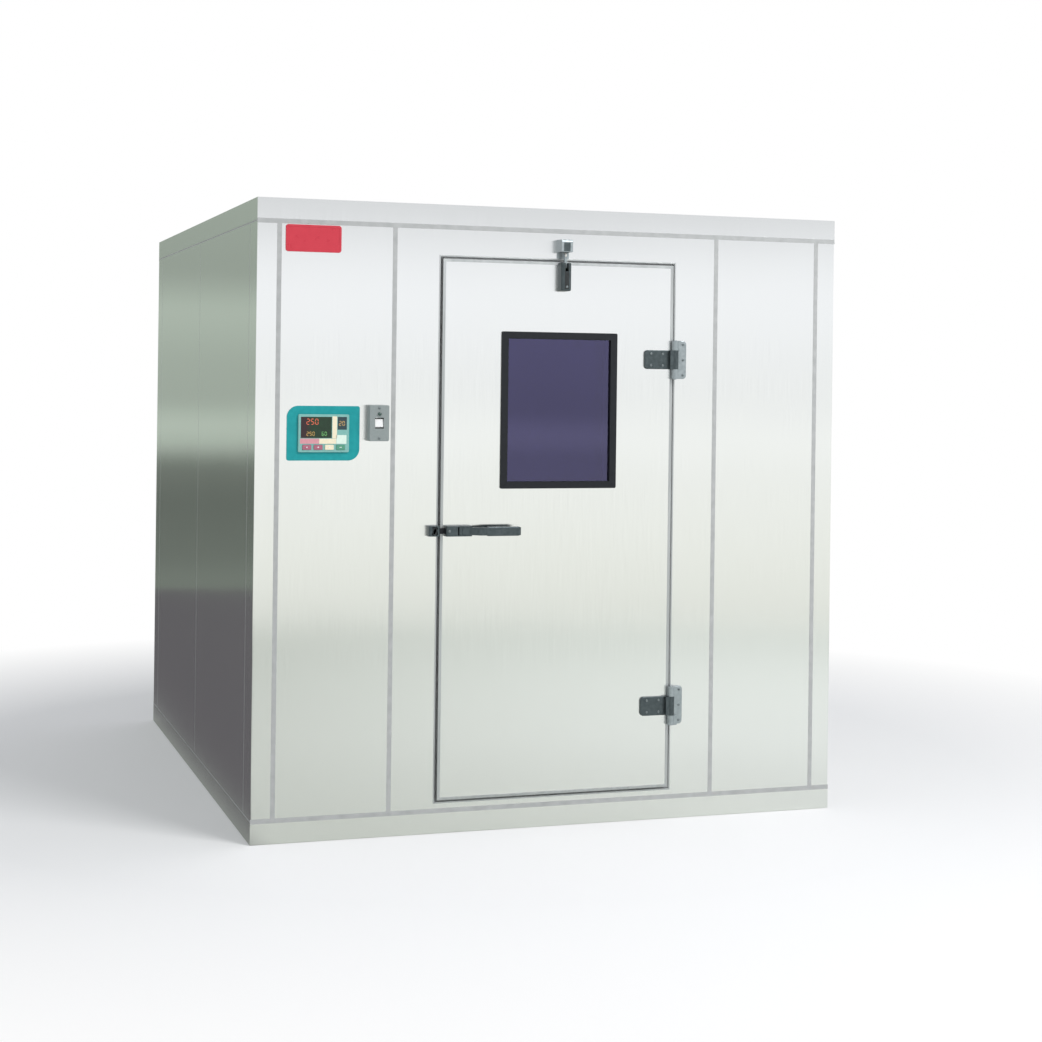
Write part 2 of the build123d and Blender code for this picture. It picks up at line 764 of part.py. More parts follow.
def window():
    """Outer and inner frame, the box liner between the panes and the two panes."""
    whole, cut, sight = window_spans(0), window_spans(window_trim - glass_bite), window_spans(window_trim)
    outer_pane_y = leaf_front + window_sleeve
    inner_pane_y = inner_front - window_sleeve

    def frame(face_y, out):
        flange = ring(whole[0], sorted((face_y, face_y + out * window_trim_thickness)), whole[1], *sight)
        sleeve = ring(cut[0], sorted((face_y, face_y - out * window_sleeve)), cut[1], *sight)
        edges = flange.edges().filter_by(Axis.Y).sort_by(lambda e: -abs(e.center().X))[:4]
        return fillet(edges, window_corner) + sleeve

    liner_y = (outer_pane_y + pane_thickness, inner_pane_y - pane_thickness)
    liner = ring(cut[0], liner_y, cut[1], *sight)
    panes = [
        block(cut[0], (outer_pane_y, outer_pane_y + pane_thickness), cut[1]),
        block(cut[0], (inner_pane_y - pane_thickness, inner_pane_y), cut[1]),
    ]
    return frame(leaf_front, -1), frame(inner_front, 1), liner, panes


def door_gasket():
    """The magnetic gasket ring on the back of the leaf's lip, with its bellows fold."""
    x, z = shrink(leaf_x, gasket_inset), shrink(leaf_z, gasket_inset)
    y = (leaf_step, leaf_step + gasket_thickness)
    hole = (shrink(x, gasket_width), shrink(z, gasket_width))
    body = ring(x, y, z, *hole)
    fold = (leaf_step + gasket_thickness * 0.4, leaf_step + gasket_thickness * 0.6)
    groove = ring(shrink(x, -1), fold, shrink(z, -1), shrink(x, 2.0), shrink(z, 2.0))
    return body - groove


def hinge(z):
    """Strap on the leaf, flange on the wall and the pin of one hinge."""
    half_strap, half_flange = strap_height / 2, flange_height / 2
    strap_x = (leaf_x[1] - strap_length, leaf_x[1] - strap_gap)
    plate = block(strap_x, (leaf_front - strap_thickness, leaf_front), (z - half_strap, z + half_strap))
    plate = fillet(plate.edges().filter_by(Axis.Y).sort_by(Axis.X)[:2], casting_corner)
    plate = fillet(plate.faces().sort_by(Axis.Y)[0].edges(), casting_edge)
    barrel = Pos(hinge_x, hinge_y, z) * Cylinder(hinge_radius, strap_height - 2 * knuckle_gap)
    neck = block((strap_x[1] - strap_neck, hinge_x), (hinge_y - hinge_radius * 0.7, leaf_front),
                 (z - half_strap + knuckle_gap, z + half_strap - knuckle_gap))
    neck -= block((leaf_x[1] - 0.5, hinge_x + 1), (leaf_front - 1.0, leaf_front + 1),
                  (z - half_strap, z + half_strap))
    bore = Pos(hinge_x, hinge_y, z) * Cylinder(hinge_pin_radius + running_clearance, flange_height)
    strap = plate + neck + barrel - bore

    flange_x = (hinge_x + flange_gap, hinge_x + flange_gap + flange_width)
    base = block(flange_x, (front - flange_thickness, front), (z - half_flange, z + half_flange))
    base = fillet(base.edges().filter_by(Axis.Y).sort_by(Axis.X)[-2:], casting_corner)
    base = fillet(base.faces().sort_by(Axis.Y)[0].edges(), casting_edge)
    ears = []
    for low, high in ((z - half_flange, z - half_strap), (z + half_strap, z + half_flange)):
        ear = Pos(hinge_x, hinge_y, (low + high) / 2) * Cylinder(hinge_radius, high - low)
        web_y = (hinge_y - hinge_radius * 0.6, front)
        web = block((hinge_x, flange_x[0] + casting_corner), web_y, (low, high))
        web -= block((hinge_x - 1, flange_x[0]), (front - casting_edge, front + 1), (low - 1, high + 1))
        ears.append(ear + web)
    flange = base.fuse(*ears) - bore
    pin = Pos(hinge_x, hinge_y, z) * Cylinder(hinge_pin_radius, flange_height + 2 * hinge_pin_over)
    pin = fillet(pin.edges(), hinge_pin_over * 0.75)
    return strap, flange, pin


def bolt_spans():
    """Depth and height ranges of the latch bolt, which slides between the lever's boss and the housing's back."""
    low = pivot_y + lever_boss_radius + 1.0
    return (low, low + bolt_thickness), (latch_z - bolt_height / 2, latch_z + bolt_height / 2)


def latch_body():
    """The latch housing on the leaf: closed over the bolt, open in front of the lever, with the pivot pin."""
    z = (latch_z - latch_height / 2, latch_z + latch_height / 2)
    y = (leaf_front - latch_depth, leaf_front)
    body = block(latch_x, y, z)
    body = fillet(body.edges().filter_by(Axis.Z).group_by(Axis.Y)[0], latch_corner)
    hollow = block((latch_x[0] + bolt_guide, latch_x[1] + 1), (y[0] + latch_plate, leaf_front - latch_plate),
                   shrink(z, latch_plate))
    mouth = block((pivot_x - lever_boss_radius - lever_play, latch_x[1] + 1), (y[0] - 1, y[0] + latch_plate + 1),
                  shrink(z, latch_plate))
    bolt_y, bolt_z = bolt_spans()
    way = block((latch_x[0] - 1, latch_x[0] + bolt_guide + 1), shrink(bolt_y, -bolt_clearance),
                shrink(bolt_z, -bolt_clearance))
    pin = Pos(pivot_x, pivot_y, latch_z) * Cylinder(latch_pin_radius, latch_height - latch_plate)
    hole = bore_y(release_x, latch_z, release_radius + 1.0, (leaf_front - latch_plate - 1, leaf_front + 1))
    return body - hollow - mouth - way - hole + pin


def latch_lever():
    """The pull lever: boss on the pivot pin, cranked arm, long grip and the finger that draws the bolt."""
    height = latch_height - 2 * latch_plate - 1.0
    housing_end = latch_x[1] - pivot_x
    points = ((0, 0), (housing_end - lever_root, -lever_fall), (housing_end + lever_crank, -lever_stand_off),
              (lever_reach, -lever_stand_off - lever_fall))
    path = FilletPolyline(*points, radius=lever_bends)
    arm = sweep(Plane(origin=path @ 0, z_dir=path % 0) * Rectangle(lever_thickness, height), path=path)
    half_grip, half_arm = lever_grip_height / 2, lever_thickness / 2
    grip_y = (-lever_stand_off - lever_fall - half_arm, -lever_stand_off + half_arm - 1.0)
    grip = block((housing_end + lever_grip_start, lever_reach), grip_y, (-half_grip, half_grip))
    grip = fillet(grip.edges().filter_by(Axis.Y), grip_corner)
    grip = fillet(grip.faces().sort_by(Axis.Y)[0].edges(), grip_edge)
    boss = Cylinder(lever_boss_radius, height)
    web = block((-finger_web / 2, finger_web / 2), (0, finger_reach), (-bolt_height / 4, bolt_height / 4))
    tip = Pos(0, finger_reach, 0) * Cylinder(finger_radius, bolt_height / 2)
    lever = arm + grip + boss + web + tip
    lever -= Cylinder(latch_pin_radius + running_clearance, height + 2)
    return Pos(pivot_x, pivot_y, latch_z) * lever


def latch_bolt():
    """The bolt that the lever's finger draws, with a bevelled nose that lets the door be pushed shut."""
    y, z = bolt_spans()
    bolt = block((strike_edge - bolt_engagement, pivot_x + finger_reach), y, z)
    nose = bolt.edges().filter_by(Axis.Z).sort_by(Axis.X)[:2].sort_by(Axis.Y)[-1]
    bolt = chamfer(nose, bolt_thickness * 0.5)
    half_x, half_z = finger_radius + finger_play, bolt_height / 4 + 1.0
    slot = block((pivot_x - half_x, pivot_x + half_x), (y[0] - 1, y[1] + 1),
                 (latch_z - half_z, latch_z + half_z))
    return bolt - slot


def latch_strike():
    """The strike on the door surround: a box with a lip in front of the bolt's nose."""
    x = (strike_edge - strike_length, strike_edge)
    z = (latch_z - latch_height / 2, latch_z + latch_height / 2)
    bolt_y, bolt_z = bolt_spans()
    lip_y = bolt_y[0] - strike_play
    body = block(x, (lip_y - strike_lip, front), z)
    body = fillet(body.edges().filter_by(Axis.Z).sort_by(Axis.X)[:2].sort_by(Axis.Y)[0], latch_corner)
    pocket = block((x[0] + bolt_guide, x[1] + 1), (lip_y, front - latch_plate), shrink(bolt_z, -lever_play))
    return body - pocket


def inside_release():
    """The push rod through the leaf, with a domed nose under the lever and a mushroom knob inside."""
    nose_y = pivot_y + lever_thickness / 2 + release_clearance
    back = inner_front + release_knob_gap
    shaft = rod((release_x, nose_y, latch_z), (release_x, back, latch_z), release_radius)
    shaft = fillet(shaft.edges().filter_by(GeomType.CIRCLE).sort_by(Axis.Y)[0], release_radius * 0.6)
    knob_end = (release_x, back + release_knob_depth, latch_z)
    knob = rod((release_x, back, latch_z), knob_end, release_knob_radius)
    knob = fillet(knob.edges().filter_by(GeomType.CIRCLE), release_knob_edge)
    return shaft + knob


def closer_spans():
    """Height and depth ranges of the closer's housing on the leaf."""
    top = leaf_z[1] - closer_top_drop
    return (top - closer_height, top), (leaf_front - closer_depth, leaf_front)


closer_pivot_y = leaf_front - closer_depth / 2
closer_pivot_z = leaf_z[1] - closer_pivot_drop


def closer_rod(half_length, z, radius):
    """A rod along the closer's width at a height: pins, axles, the roller and their bores."""
    y = closer_pivot_y
    return rod((closer_x - half_length, y, z), (closer_x + half_length, y, z), radius)


def closer_body():
    """The closer's cylinder housing, slotted at the top for the arm, with the arm's pivot pin."""
    z, y = closer_spans()
    x = (closer_x - closer_width / 2, closer_x + closer_width / 2)
    body = block(x, y, z)
    body = fillet(body.edges().filter_by(Axis.Z).group_by(Axis.Y)[0], closer_corner)
    body = fillet(body.faces().sort_by(Axis.Z)[0].edges().group_by(Axis.Y)[0], closer_foot)
    half_slot = closer_arm_width / 2 + 0.5
    slot = block((closer_x - half_slot, closer_x + half_slot), (y[0] - 1, leaf_front - closer_floor),
                 (closer_pivot_z - closer_arm_thickness - hook_wall, z[1] + 1))
    reach = half_slot + casting_edge
    pin = closer_rod(reach, closer_pivot_z, closer_pin_radius)
    return body - slot + pin


def closer_arm():
    """The closer's arm with its fork and axle, and the roller that turns on the axle."""
    half = closer_arm_width / 2
    top = closer_pivot_z + closer_arm_length
    bar = block((closer_x - half, closer_x + half),
                (closer_pivot_y - closer_arm_thickness / 2, closer_pivot_y + closer_arm_thickness / 2),
                (closer_pivot_z, top))
    ends = [closer_rod(half, z, closer_arm_thickness / 2) for z in (closer_pivot_z, top)]
    arm = bar.fuse(*ends)
    fork_gap = half - fork_wall
    arm -= closer_rod(fork_gap, top, roller_radius + fork_wall - 0.5)
    arm -= closer_rod(half + 1, closer_pivot_z, closer_pin_radius + running_clearance)
    axle = closer_rod(half, top, roller_pin_radius)
    wheel = closer_rod(fork_gap - fork_play, top, roller_radius)
    wheel -= closer_rod(half, top, roller_pin_radius + running_clearance)
    return arm + axle, wheel


def closer_hook():
    """The hook housing on the header: a base plate and a hood, open below for the roller."""
    low = leaf_z[1] + leaf_gap + hook_gap
    z = (low, low + hook_height)
    x = (closer_x - hook_width / 2, closer_x + hook_width / 2)
    base = block(x, (front - hook_wall, front), z)
    hood_low = closer_pivot_z + closer_arm_length + roller_radius + hook_clearance
    hood_y = (leaf_front - closer_depth, front)
    hood = block(x, hood_y, (hood_low, z[1]))
    hood = fillet(hood.edges().filter_by(Axis.X).sort_by(Axis.Y)[:2].sort_by(Axis.Z)[-1], hook_corner)
    hood = fillet(hood.edges().filter_by(Axis.Z).group_by(Axis.Y)[0], casting_edge)
    hollow = block(shrink(x, hook_wall), (hood_y[0] + hook_wall, front - hook_wall),
                   (hood_low - 1, z[1] - hook_roof))
    return base + hood - hollow


def control_fascia():
    """The coloured plate behind the controller: two opposite corners are rounded wide."""
    x = (fascia_centre_x - fascia_width / 2, fascia_centre_x + fascia_width / 2)
    z = (fascia_centre_z - fascia_height / 2, fascia_centre_z + fascia_height / 2)
    plate = block(x, (front - fascia_thickness, front), z)
    corners = plate.edges().filter_by(Axis.Y)
    big = [e for e in corners if (e.center().X - fascia_centre_x) * (e.center().Z - fascia_centre_z) < 0]
    plate = fillet(big, fascia_big_radius)
    small = plate.edges().filter_by(Axis.Y).filter_by(GeomType.LINE)
    small = [e for e in small if min(abs(e.center().X - x[0]), abs(e.center().X - x[1])) < 0.1
             and min(abs(e.center().Z - z[0]), abs(e.center().Z - z[1])) < 0.1]
    plate = fillet(small, fascia_small_radius)
    body_x, _, body_z = controller_body_spans(1.0)
    return plate - block(body_x, (front - fascia_thickness - 1, front + 1), body_z)


def bezel_layout():
    """Ranges on the bezel: main display, side display and the centres of the keys."""
    low_x, high_x = fascia_centre_x - bezel_width / 2, fascia_centre_x + bezel_width / 2
    top = fascia_centre_z + bezel_height / 2 - display_margin
    main = ((low_x + display_margin, low_x + display_margin + display_width), (top - display_height, top))
    side_x = (high_x - display_margin - side_display_width, high_x - display_margin)
    side = (side_x, (top - side_display_height, top))
    key_z = fascia_centre_z - bezel_height / 2 + display_margin + key_height / 2
    first = fascia_centre_x - key_pitch * (key_count - 1) / 2
    return main, side, [(first + key_pitch * i, key_z) for i in range(key_count)]


bezel_face = front - fascia_thickness - bezel_thickness


def controller_unit():
    """The controller: a bezel with display recesses and key wells on a body that reaches into the wall."""
    x = (fascia_centre_x - bezel_width / 2, fascia_centre_x + bezel_width / 2)
    z = (fascia_centre_z - bezel_height / 2, fascia_centre_z + bezel_height / 2)
    bezel = block(x, (bezel_face, front - fascia_thickness), z)
    bezel = fillet(bezel.edges().filter_by(Axis.Y), bezel_radius)
    bezel = fillet(bezel.faces().sort_by(Axis.Y)[0].edges(), 2.0)
    unit = bezel + block(*controller_body_spans())
    main, side, keys = bezel_layout()
    for span_x, span_z in (main, side):
        unit -= block(span_x, (bezel_face - 1, bezel_face + display_thickness + lens_recess), span_z)
    well_y = (bezel_face - 1, bezel_face - key_proud + key_thickness + key_travel + key_well_play)
    for key_x, key_z in keys:
        half_x, half_z = key_width / 2 + key_clearance, key_height / 2 + key_clearance
        unit -= block((key_x - half_x, key_x + half_x), well_y, (key_z - half_z, key_z + half_z))
    return unit


def display_windows():
    """The two display lenses, each seated in its recess a little below the bezel's face."""
    main, side, _ = bezel_layout()
    y = (bezel_face + lens_recess, bezel_face + lens_recess + display_thickness)
    return group(*[block(span_x, y, span_z) for span_x, span_z in (main, side)])


def key(number):
    """One push key, numbered from the left, standing proud of the bezel by its own height."""
    _, _, keys = bezel_layout()
    x, z = keys[number]
    y = (bezel_face - key_proud, bezel_face - key_proud + key_thickness)
    cap = block((x - key_width / 2, x + key_width / 2), y, (z - key_height / 2, z + key_height / 2))
    cap = fillet(cap.edges().filter_by(Axis.Y), key_corner)
    return fillet(cap.faces().sort_by(Axis.Y)[0].edges(), 1.0)


def switch_box():
    """The surface box of the mains switch, hollow, with the rocker's well in its face."""
    x = (switch_centre_x - switch_width / 2, switch_centre_x + switch_width / 2)
    z = (switch_centre_z - switch_height / 2, switch_centre_z + switch_height / 2)
    y = (front - switch_depth, front)
    box = block(x, y, z)
    box = fillet(box.edges().filter_by(Axis.Y), switch_corner)
    box = fillet(box.faces().sort_by(Axis.Y)[0].edges(), casting_edge)
    box -= block(shrink(x, switch_wall), (y[0] + switch_wall, front + 1), shrink(z, switch_wall))
    half_x, half_z = rocker_width / 2 + 1.0, rocker_height / 2 + 1.5
    well = block((switch_centre_x - half_x, switch_centre_x + half_x), (y[0] - 1, y[0] + switch_wall + 1),
                 (switch_centre_z - half_z, switch_centre_z + half_z))
    lugs = []
    axle_y = rocker_axle_y()
    lug_y = (y[0] + switch_wall, axle_y + rocker_skirt)
    lug_z = (switch_centre_z - rocker_skirt, switch_centre_z + rocker_skirt)
    for side in (-1, 1):
        near, far = switch_centre_x + side * half_x, switch_centre_x + side * (half_x + rocker_lug)
        lug = block(sorted((near, far)), lug_y, lug_z)
        lugs.append(lug - rod((near - side, axle_y, switch_centre_z), (far + side, axle_y, switch_centre_z),
                              rocker_axle_radius + running_clearance))
    return (box - well).fuse(*lugs)


def rocker_axle_y():
    """Depth of the rocker's axle behind the switch box's face."""
    return front - switch_depth + rocker_axle_depth


def rocker():
    """The mains rocker: a shallow V-shaped cap on an axle, drawn tipped to its off side."""
    half, skirt = rocker_height / 2, rocker_height / 2 - rocker_lug
    profile = Polyline((-half, -rocker_rim), (0, -rocker_middle), (half, -rocker_rim),
                       (skirt, rocker_skirt), (-skirt, rocker_skirt), close=True)
    cap = extrude(Plane.YZ * make_face(Rot(0, 0, 90) * profile), rocker_width / 2, both=True)
    reach = rocker_width / 2 + rocker_lug + 0.5
    axle = rod((-reach, 0, 0), (reach, 0, 0), rocker_axle_radius)
    place = Pos(switch_centre_x, rocker_axle_y(), switch_centre_z)
    return place * Rot(-rocker_swing / 2, 0, 0) * (cap + axle)


plant_x = (inner_left + service_line) / 2
unit_top = floor_top + unit_base_height
condenser_y = (inner_rear - condenser_gap - condenser_depth, inner_rear - condenser_gap)
shroud_y = condenser_y[0] - shroud_sheet
condenser_fan_y = condenser_y[0] - fan_rim_depth / 2
condenser_fan_z = unit_top + condenser_height / 2
compressor_y = condenser_y[0] - compressor_spacing


def unit_base():
    """The condensing unit's base: a tray on two rails, with the fan shroud that stands before the coil."""
    y = (compressor_y - unit_front, condenser_y[1] + unit_back)
    x = (plant_x - condenser_width / 2, plant_x + condenser_width / 2)
    tray = block(x, y, (unit_top - shroud_sheet, unit_top))
    rail_starts = (x[0] + rail_inset, x[1] - rail_inset - rail_width)
    rail_z = (floor_top, unit_top - shroud_sheet)
    rails = [block((start, start + rail_width), y, rail_z) for start in rail_starts]
    shroud = block(x, (shroud_y, condenser_y[0]), (unit_top, unit_top + condenser_height))
    ring_y = (condenser_y[0] - fan_rim_depth, condenser_y[0])
    collar = bore_y(plant_x, condenser_fan_z, condenser_fan_radius + fan_hole_clearance + 2.0, ring_y)
    hole = bore_y(plant_x, condenser_fan_z, condenser_fan_radius + fan_hole_clearance, shrink(ring_y, -1))
    return tray.fuse(*rails, shroud, collar) - hole


def compressor():
    """The hermetic compressor: a domed can with its weld seam, feet and terminal box."""
    r, h, seam = compressor_radius, compressor_height, compressor_seam
    low = compressor_foot
    profile = Polyline((0, low), (r * 0.72, low), (r, low + r * 0.35), (r, h * 0.62), (r + seam, h * 0.62),
                       (r + seam, h * 0.66), (r, h * 0.66), (r, h - r * 0.4), (r * 0.6, h), (0, h),
                       close=True)
    can = revolve(Plane.XZ * make_face(profile), Axis.Z)
    feet = block((-r, r), (-r * 0.5, r * 0.5), (low * 0.4, low * 1.3))
    pad = Pos(0, 0, low * 0.2) * Cylinder(compressor_pad, low * 0.4)
    pads = [Pos(sx * r * 0.85, sy * r * 0.35, 0) * pad for sx in (-1, 1) for sy in (-1, 1)]
    half = terminal_width / 2
    box = block((-r - terminal_depth, -r * 0.7), (-half, half), (h * 0.3, h * 0.3 + terminal_height))
    return Pos(plant_x, compressor_y, unit_top) * can.fuse(feet, box, *pads)


def humidifier():
    """The steam boiler on its feet, with the steam pipe that leaves through the partition."""
    r, h = boiler_radius, boiler_height
    foot = boiler_foot
    body = fillet((Pos(0, 0, foot + h / 2) * Cylinder(r, h)).edges().filter_by(GeomType.CIRCLE), boiler_edge)
    band = Cylinder(r + boiler_band_thickness, boiler_band)
    bands = [Pos(0, 0, foot + h * share) * band for share in (0.25, 0.75)]
    leg = Pos(0, 0, foot * 0.7) * Cylinder(boiler_leg_radius, foot * 1.4)
    legs = [Pos(r * 0.6 * cx, r * 0.6 * cy, 0) * leg for cx in (-1, 1) for cy in (-1, 1)]
    boiler = Pos(plant_x, boiler_y, floor_top) * body.fuse(*bands, *legs)
    pass_y, pass_z, radius = partition_passes[2]
    top = floor_top + foot + h
    loop_z = pass_z + steam_rise
    points = (
        (plant_x, boiler_y, top - boiler_foot / 2),
        (plant_x, boiler_y, loop_z),
        (plant_x, pass_y, loop_z),
        (plant_x, pass_y, pass_z),
        (room_left + steam_reach, pass_y, pass_z),
    )
    return boiler + bent_tube(points, radius, steam_bend)


def refrigerant_pipes():
    """Discharge, liquid and suction pipes of the cooling circuit."""
    liquid_y, liquid_z, liquid_r = partition_passes[0]
    suction_y, suction_z, suction_r = partition_passes[1]
    high = unit_top + condenser_height + discharge_rise
    header_y = condenser_y[1] - condenser_depth / 2
    can_top = unit_top + compressor_height
    coil_left = coil_x[0]
    condenser_top = unit_top + condenser_height
    hot_x, liquid_x, cold_x = plant_x + discharge_offset, plant_x + liquid_offset, plant_x - suction_offset
    hot = (
        (hot_x, compressor_y, can_top),
        (hot_x, compressor_y, high),
        (hot_x, header_y, high),
        (hot_x, header_y, condenser_top),
    )
    warm = (
        (liquid_x, header_y, condenser_top),
        (liquid_x, header_y, liquid_z - liquid_turn),
        (liquid_x, liquid_y, liquid_z - discharge_rise),
        (liquid_x, liquid_y, liquid_z),
        (coil_left, liquid_y, liquid_z),
    )
    cold = (
        (cold_x, compressor_y, can_top),
        (cold_x, compressor_y, suction_z - suction_turn),
        (cold_x, suction_y, suction_z),
        (coil_left, suction_y, suction_z),
    )
    discharge = bent_tube(hot, thin_pipe_radius, thin_bend)
    liquid = bent_tube(warm, liquid_r, [liquid_bend, liquid_bend, thin_bend])
    suction = bent_tube(cold, suction_r, [suction_bend, suction_bend])
    return group(discharge, liquid, suction)


def electrical_cabinet():
    """The cabinet on the partition: a box with a lid that stands round it and a row of glands below."""
    x = (service_line - cabinet_depth, service_line)
    y = (inner_front + cabinet_from_wall, inner_front + cabinet_from_wall + cabinet_width)
    z = (cabinet_base_z, cabinet_base_z + cabinet_height)
    box = block(x, y, z)
    box = fillet(box.edges().filter_by(Axis.X), cabinet_corner)
    lid = block((x[0] - cabinet_lid, x[0]), shrink(y, -cabinet_lid_over), shrink(z, -cabinet_lid_over))
    lid = fillet(lid.edges().filter_by(Axis.X), cabinet_corner)
    middle, pitch = (x[0] + x[1]) / 2, cabinet_width / (cabinet_glands + 1)
    gland = rod((middle, y[0], z[0] - cabinet_gland_length), (middle, y[0], z[0]), cabinet_gland_radius)
    glands = [Pos(0, pitch * (i + 1), 0) * gland for i in range(cabinet_glands)]
    return box.fuse(lid, *glands)


fan_x = ((room_left + inner_right - fan_spacing) / 2, (room_left + inner_right + fan_spacing) / 2)
fan_y = plenum_y + fan_rim_depth / 2
coil_middle = (room_left + inner_right) / 2
coil_x = (coil_middle - coil_width / 2, coil_middle + coil_width / 2)
coil_y = (inner_rear - coil_stand_off - coil_depth, inner_rear - coil_stand_off)
coil_z = (coil_base_z, coil_base_z + coil_height)


def plenum_baffle():
    """The sheet in front of the plenum: a fan hole with a rolled rim for each fan, and return slots below."""
    x = (room_left, inner_right)
    y = (plenum_y, plenum_y + baffle_sheet)
    wall = block(x, y, (baffle_base_z, roof_under))
    foot = block(x, (plenum_y, plenum_y + baffle_foot), (baffle_base_z, baffle_base_z + baffle_sheet))
    hole, rim_end = fan_radius + fan_hole_clearance, plenum_y + fan_rim_depth
    rims, holes = [], []
    for middle in fan_x:
        rims.append(bore_y(middle, fan_height, hole + baffle_sheet, (plenum_y, rim_end)))
        holes.append(bore_y(middle, fan_height, hole, (plenum_y - 1, rim_end + 1)))
    slots = []
    pitch = (x[1] - x[0]) / (return_slots + 1)
    for i in range(return_slots):
        middle = x[0] + pitch * (i + 1)
        slot_x = (middle - pitch * 0.35, middle + pitch * 0.35)
        for row in range(return_rows):
            low = baffle_base_z + return_rise + return_pitch * row
            slots.append(block(slot_x, (y[0] - 1, y[1] + 1), (low, low + return_slot)))
    return wall.fuse(foot, *rims) - Compound(children=holes + slots)


def drip_tray():
    """The tray under the coil, with bearers for the coil and a fall pipe down to the drain's tundish."""
    x = (coil_x[0] - tray_side, drain_x + 2 * tray_side)
    y = (coil_y[0] - tray_front, inner_rear)
    z = (coil_base_z - tray_drop, coil_base_z + tray_wall)
    inside_z = (z[0] + baffle_sheet, z[1] + 1)
    tray = block(x, y, z) - block(shrink(x, baffle_sheet), shrink(y, baffle_sheet), inside_z)
    half = bearer_width / 2
    bearers = [
        block((at - half, at + half), (coil_y[0], y[1] - baffle_sheet), (z[0], coil_base_z))
        for at in (coil_x[0] + bearer_inset, coil_middle, coil_x[1] - bearer_inset)
    ]
    fall = (drain_x, tundish_y)
    fall_end = drain_z + tundish_height / 2 + drain_offset + fall_gap
    pipe = rod((*fall, fall_end), (*fall, z[0] + baffle_sheet), fall_radius)
    bore = rod((*fall, fall_end - 1), (*fall, z[1]), fall_bore)
    return tray.fuse(*bearers, pipe) - bore


def heater_elements():
    """Three tubular heaters in hairpin form, in a terminal box on the partition."""
    box_y = (plenum_y + heater_front, inner_rear - heater_back)
    z0 = coil_z[1] + heater_gap
    top = z0 + heater_pitch * (heater_count - 1) + heater_margin
    box = block((room_left, room_left + heater_box), box_y, (z0 - heater_margin, top))
    rods = []
    near, far = room_left + heater_box - sheet, room_left + heater_length
    ends = (box_y[0] + heater_end, box_y[0] + heater_end + heater_hairpin)
    for i in range(heater_count):
        z = z0 + heater_pitch * i
        points = ((near, ends[0], z), (far, ends[0], z), (far, ends[1], z), (near, ends[1], z))
        rods.append(bent_tube(points, heater_radius, heater_bend))
    return box.fuse(*rods)


def rack_spans():
    """Ranges of the rack's footprint along the right wall."""
    x = (inner_right - rack_side_gap - rack_depth, inner_right - rack_side_gap)
    y = (plenum_y - rack_end_gap - rack_length, plenum_y - rack_end_gap)
    return x, y


def shelf_levels():
    """Height of each shelf's underside, evenly spaced up the posts."""
    step = (rack_height - shelf_thickness - rack_clear) / (rack_shelves - 1)
    return [floor_top + rack_clear + step * i for i in range(rack_shelves)]


def storage_rack():
    """Four square posts with rounded feet, and slatted shelves notched round them."""
    x, y = rack_spans()
    post_z = (floor_top, floor_top + rack_height)
    posts = []
    for px in (x[0], x[1] - rack_post):
        for py in (y[0], y[1] - rack_post):
            posts.append(block((px, px + rack_post), (py, py + rack_post), post_z))
    shelves = []
    for z in shelf_levels():
        level = (z, z + shelf_thickness)
        rim_width = rack_post + shelf_rim
        rim = block(x, y, level)
        rim -= block(shrink(x, rim_width), shrink(y, rim_width), (level[0] - 1, level[1] + 1))
        pitch = (rack_depth - 2 * rim_width) / (shelf_slats + 1)
        slats = []
        for i in range(shelf_slats):
            middle = x[0] + rim_width + pitch * (i + 1)
            slat_x = (middle - slat_width / 2, middle + slat_width / 2)
            slats.append(block(slat_x, shrink(y, rim_width - 1), (level[1] - slat_thickness, level[1])))
        shelf = rim.fuse(*slats)
        for post in posts:
            shelf -= post
        shelves.append(shelf)
    return group(*posts, *shelves)


def ceiling_lamp():
    """A round bulkhead lamp: a turned base on the ceiling and a domed cover below it."""
    x, y = 0.5 * (room_left + rack_spans()[0][0]), -0.15 * outer_depth
    base = rod((x, y, roof_under - lamp_base), (x, y, roof_under), lamp_radius)
    base = fillet(base.edges().filter_by(GeomType.CIRCLE).sort_by(Axis.Z)[0], lamp_base_edge)
    under = roof_under - lamp_base
    dome = rod((x, y, under - lamp_dome), (x, y, under), lamp_radius - lamp_rim)
    dome = fillet(dome.edges().filter_by(GeomType.CIRCLE).sort_by(Axis.Z)[0], lamp_dome_edge)
    return base, dome


def port_sleeve():
    """The cable port: a sleeve through the right wall with a flange on each side."""
    start = (inner_right - port_inner_flange, port_y, port_z)
    end = (right + port_outer_flange, port_y, port_z)
    sleeve = rod(start, end, port_radius + sleeve_wall)
    flanges = [
        rod(start, (inner_right, port_y, port_z), port_flange_radius),
        rod((right, port_y, port_z), end, port_flange_radius),
    ]
    bore = rod((start[0] - 1, port_y, port_z), (end[0] + 1, port_y, port_z), port_radius)
    return sleeve.fuse(*flanges) - bore


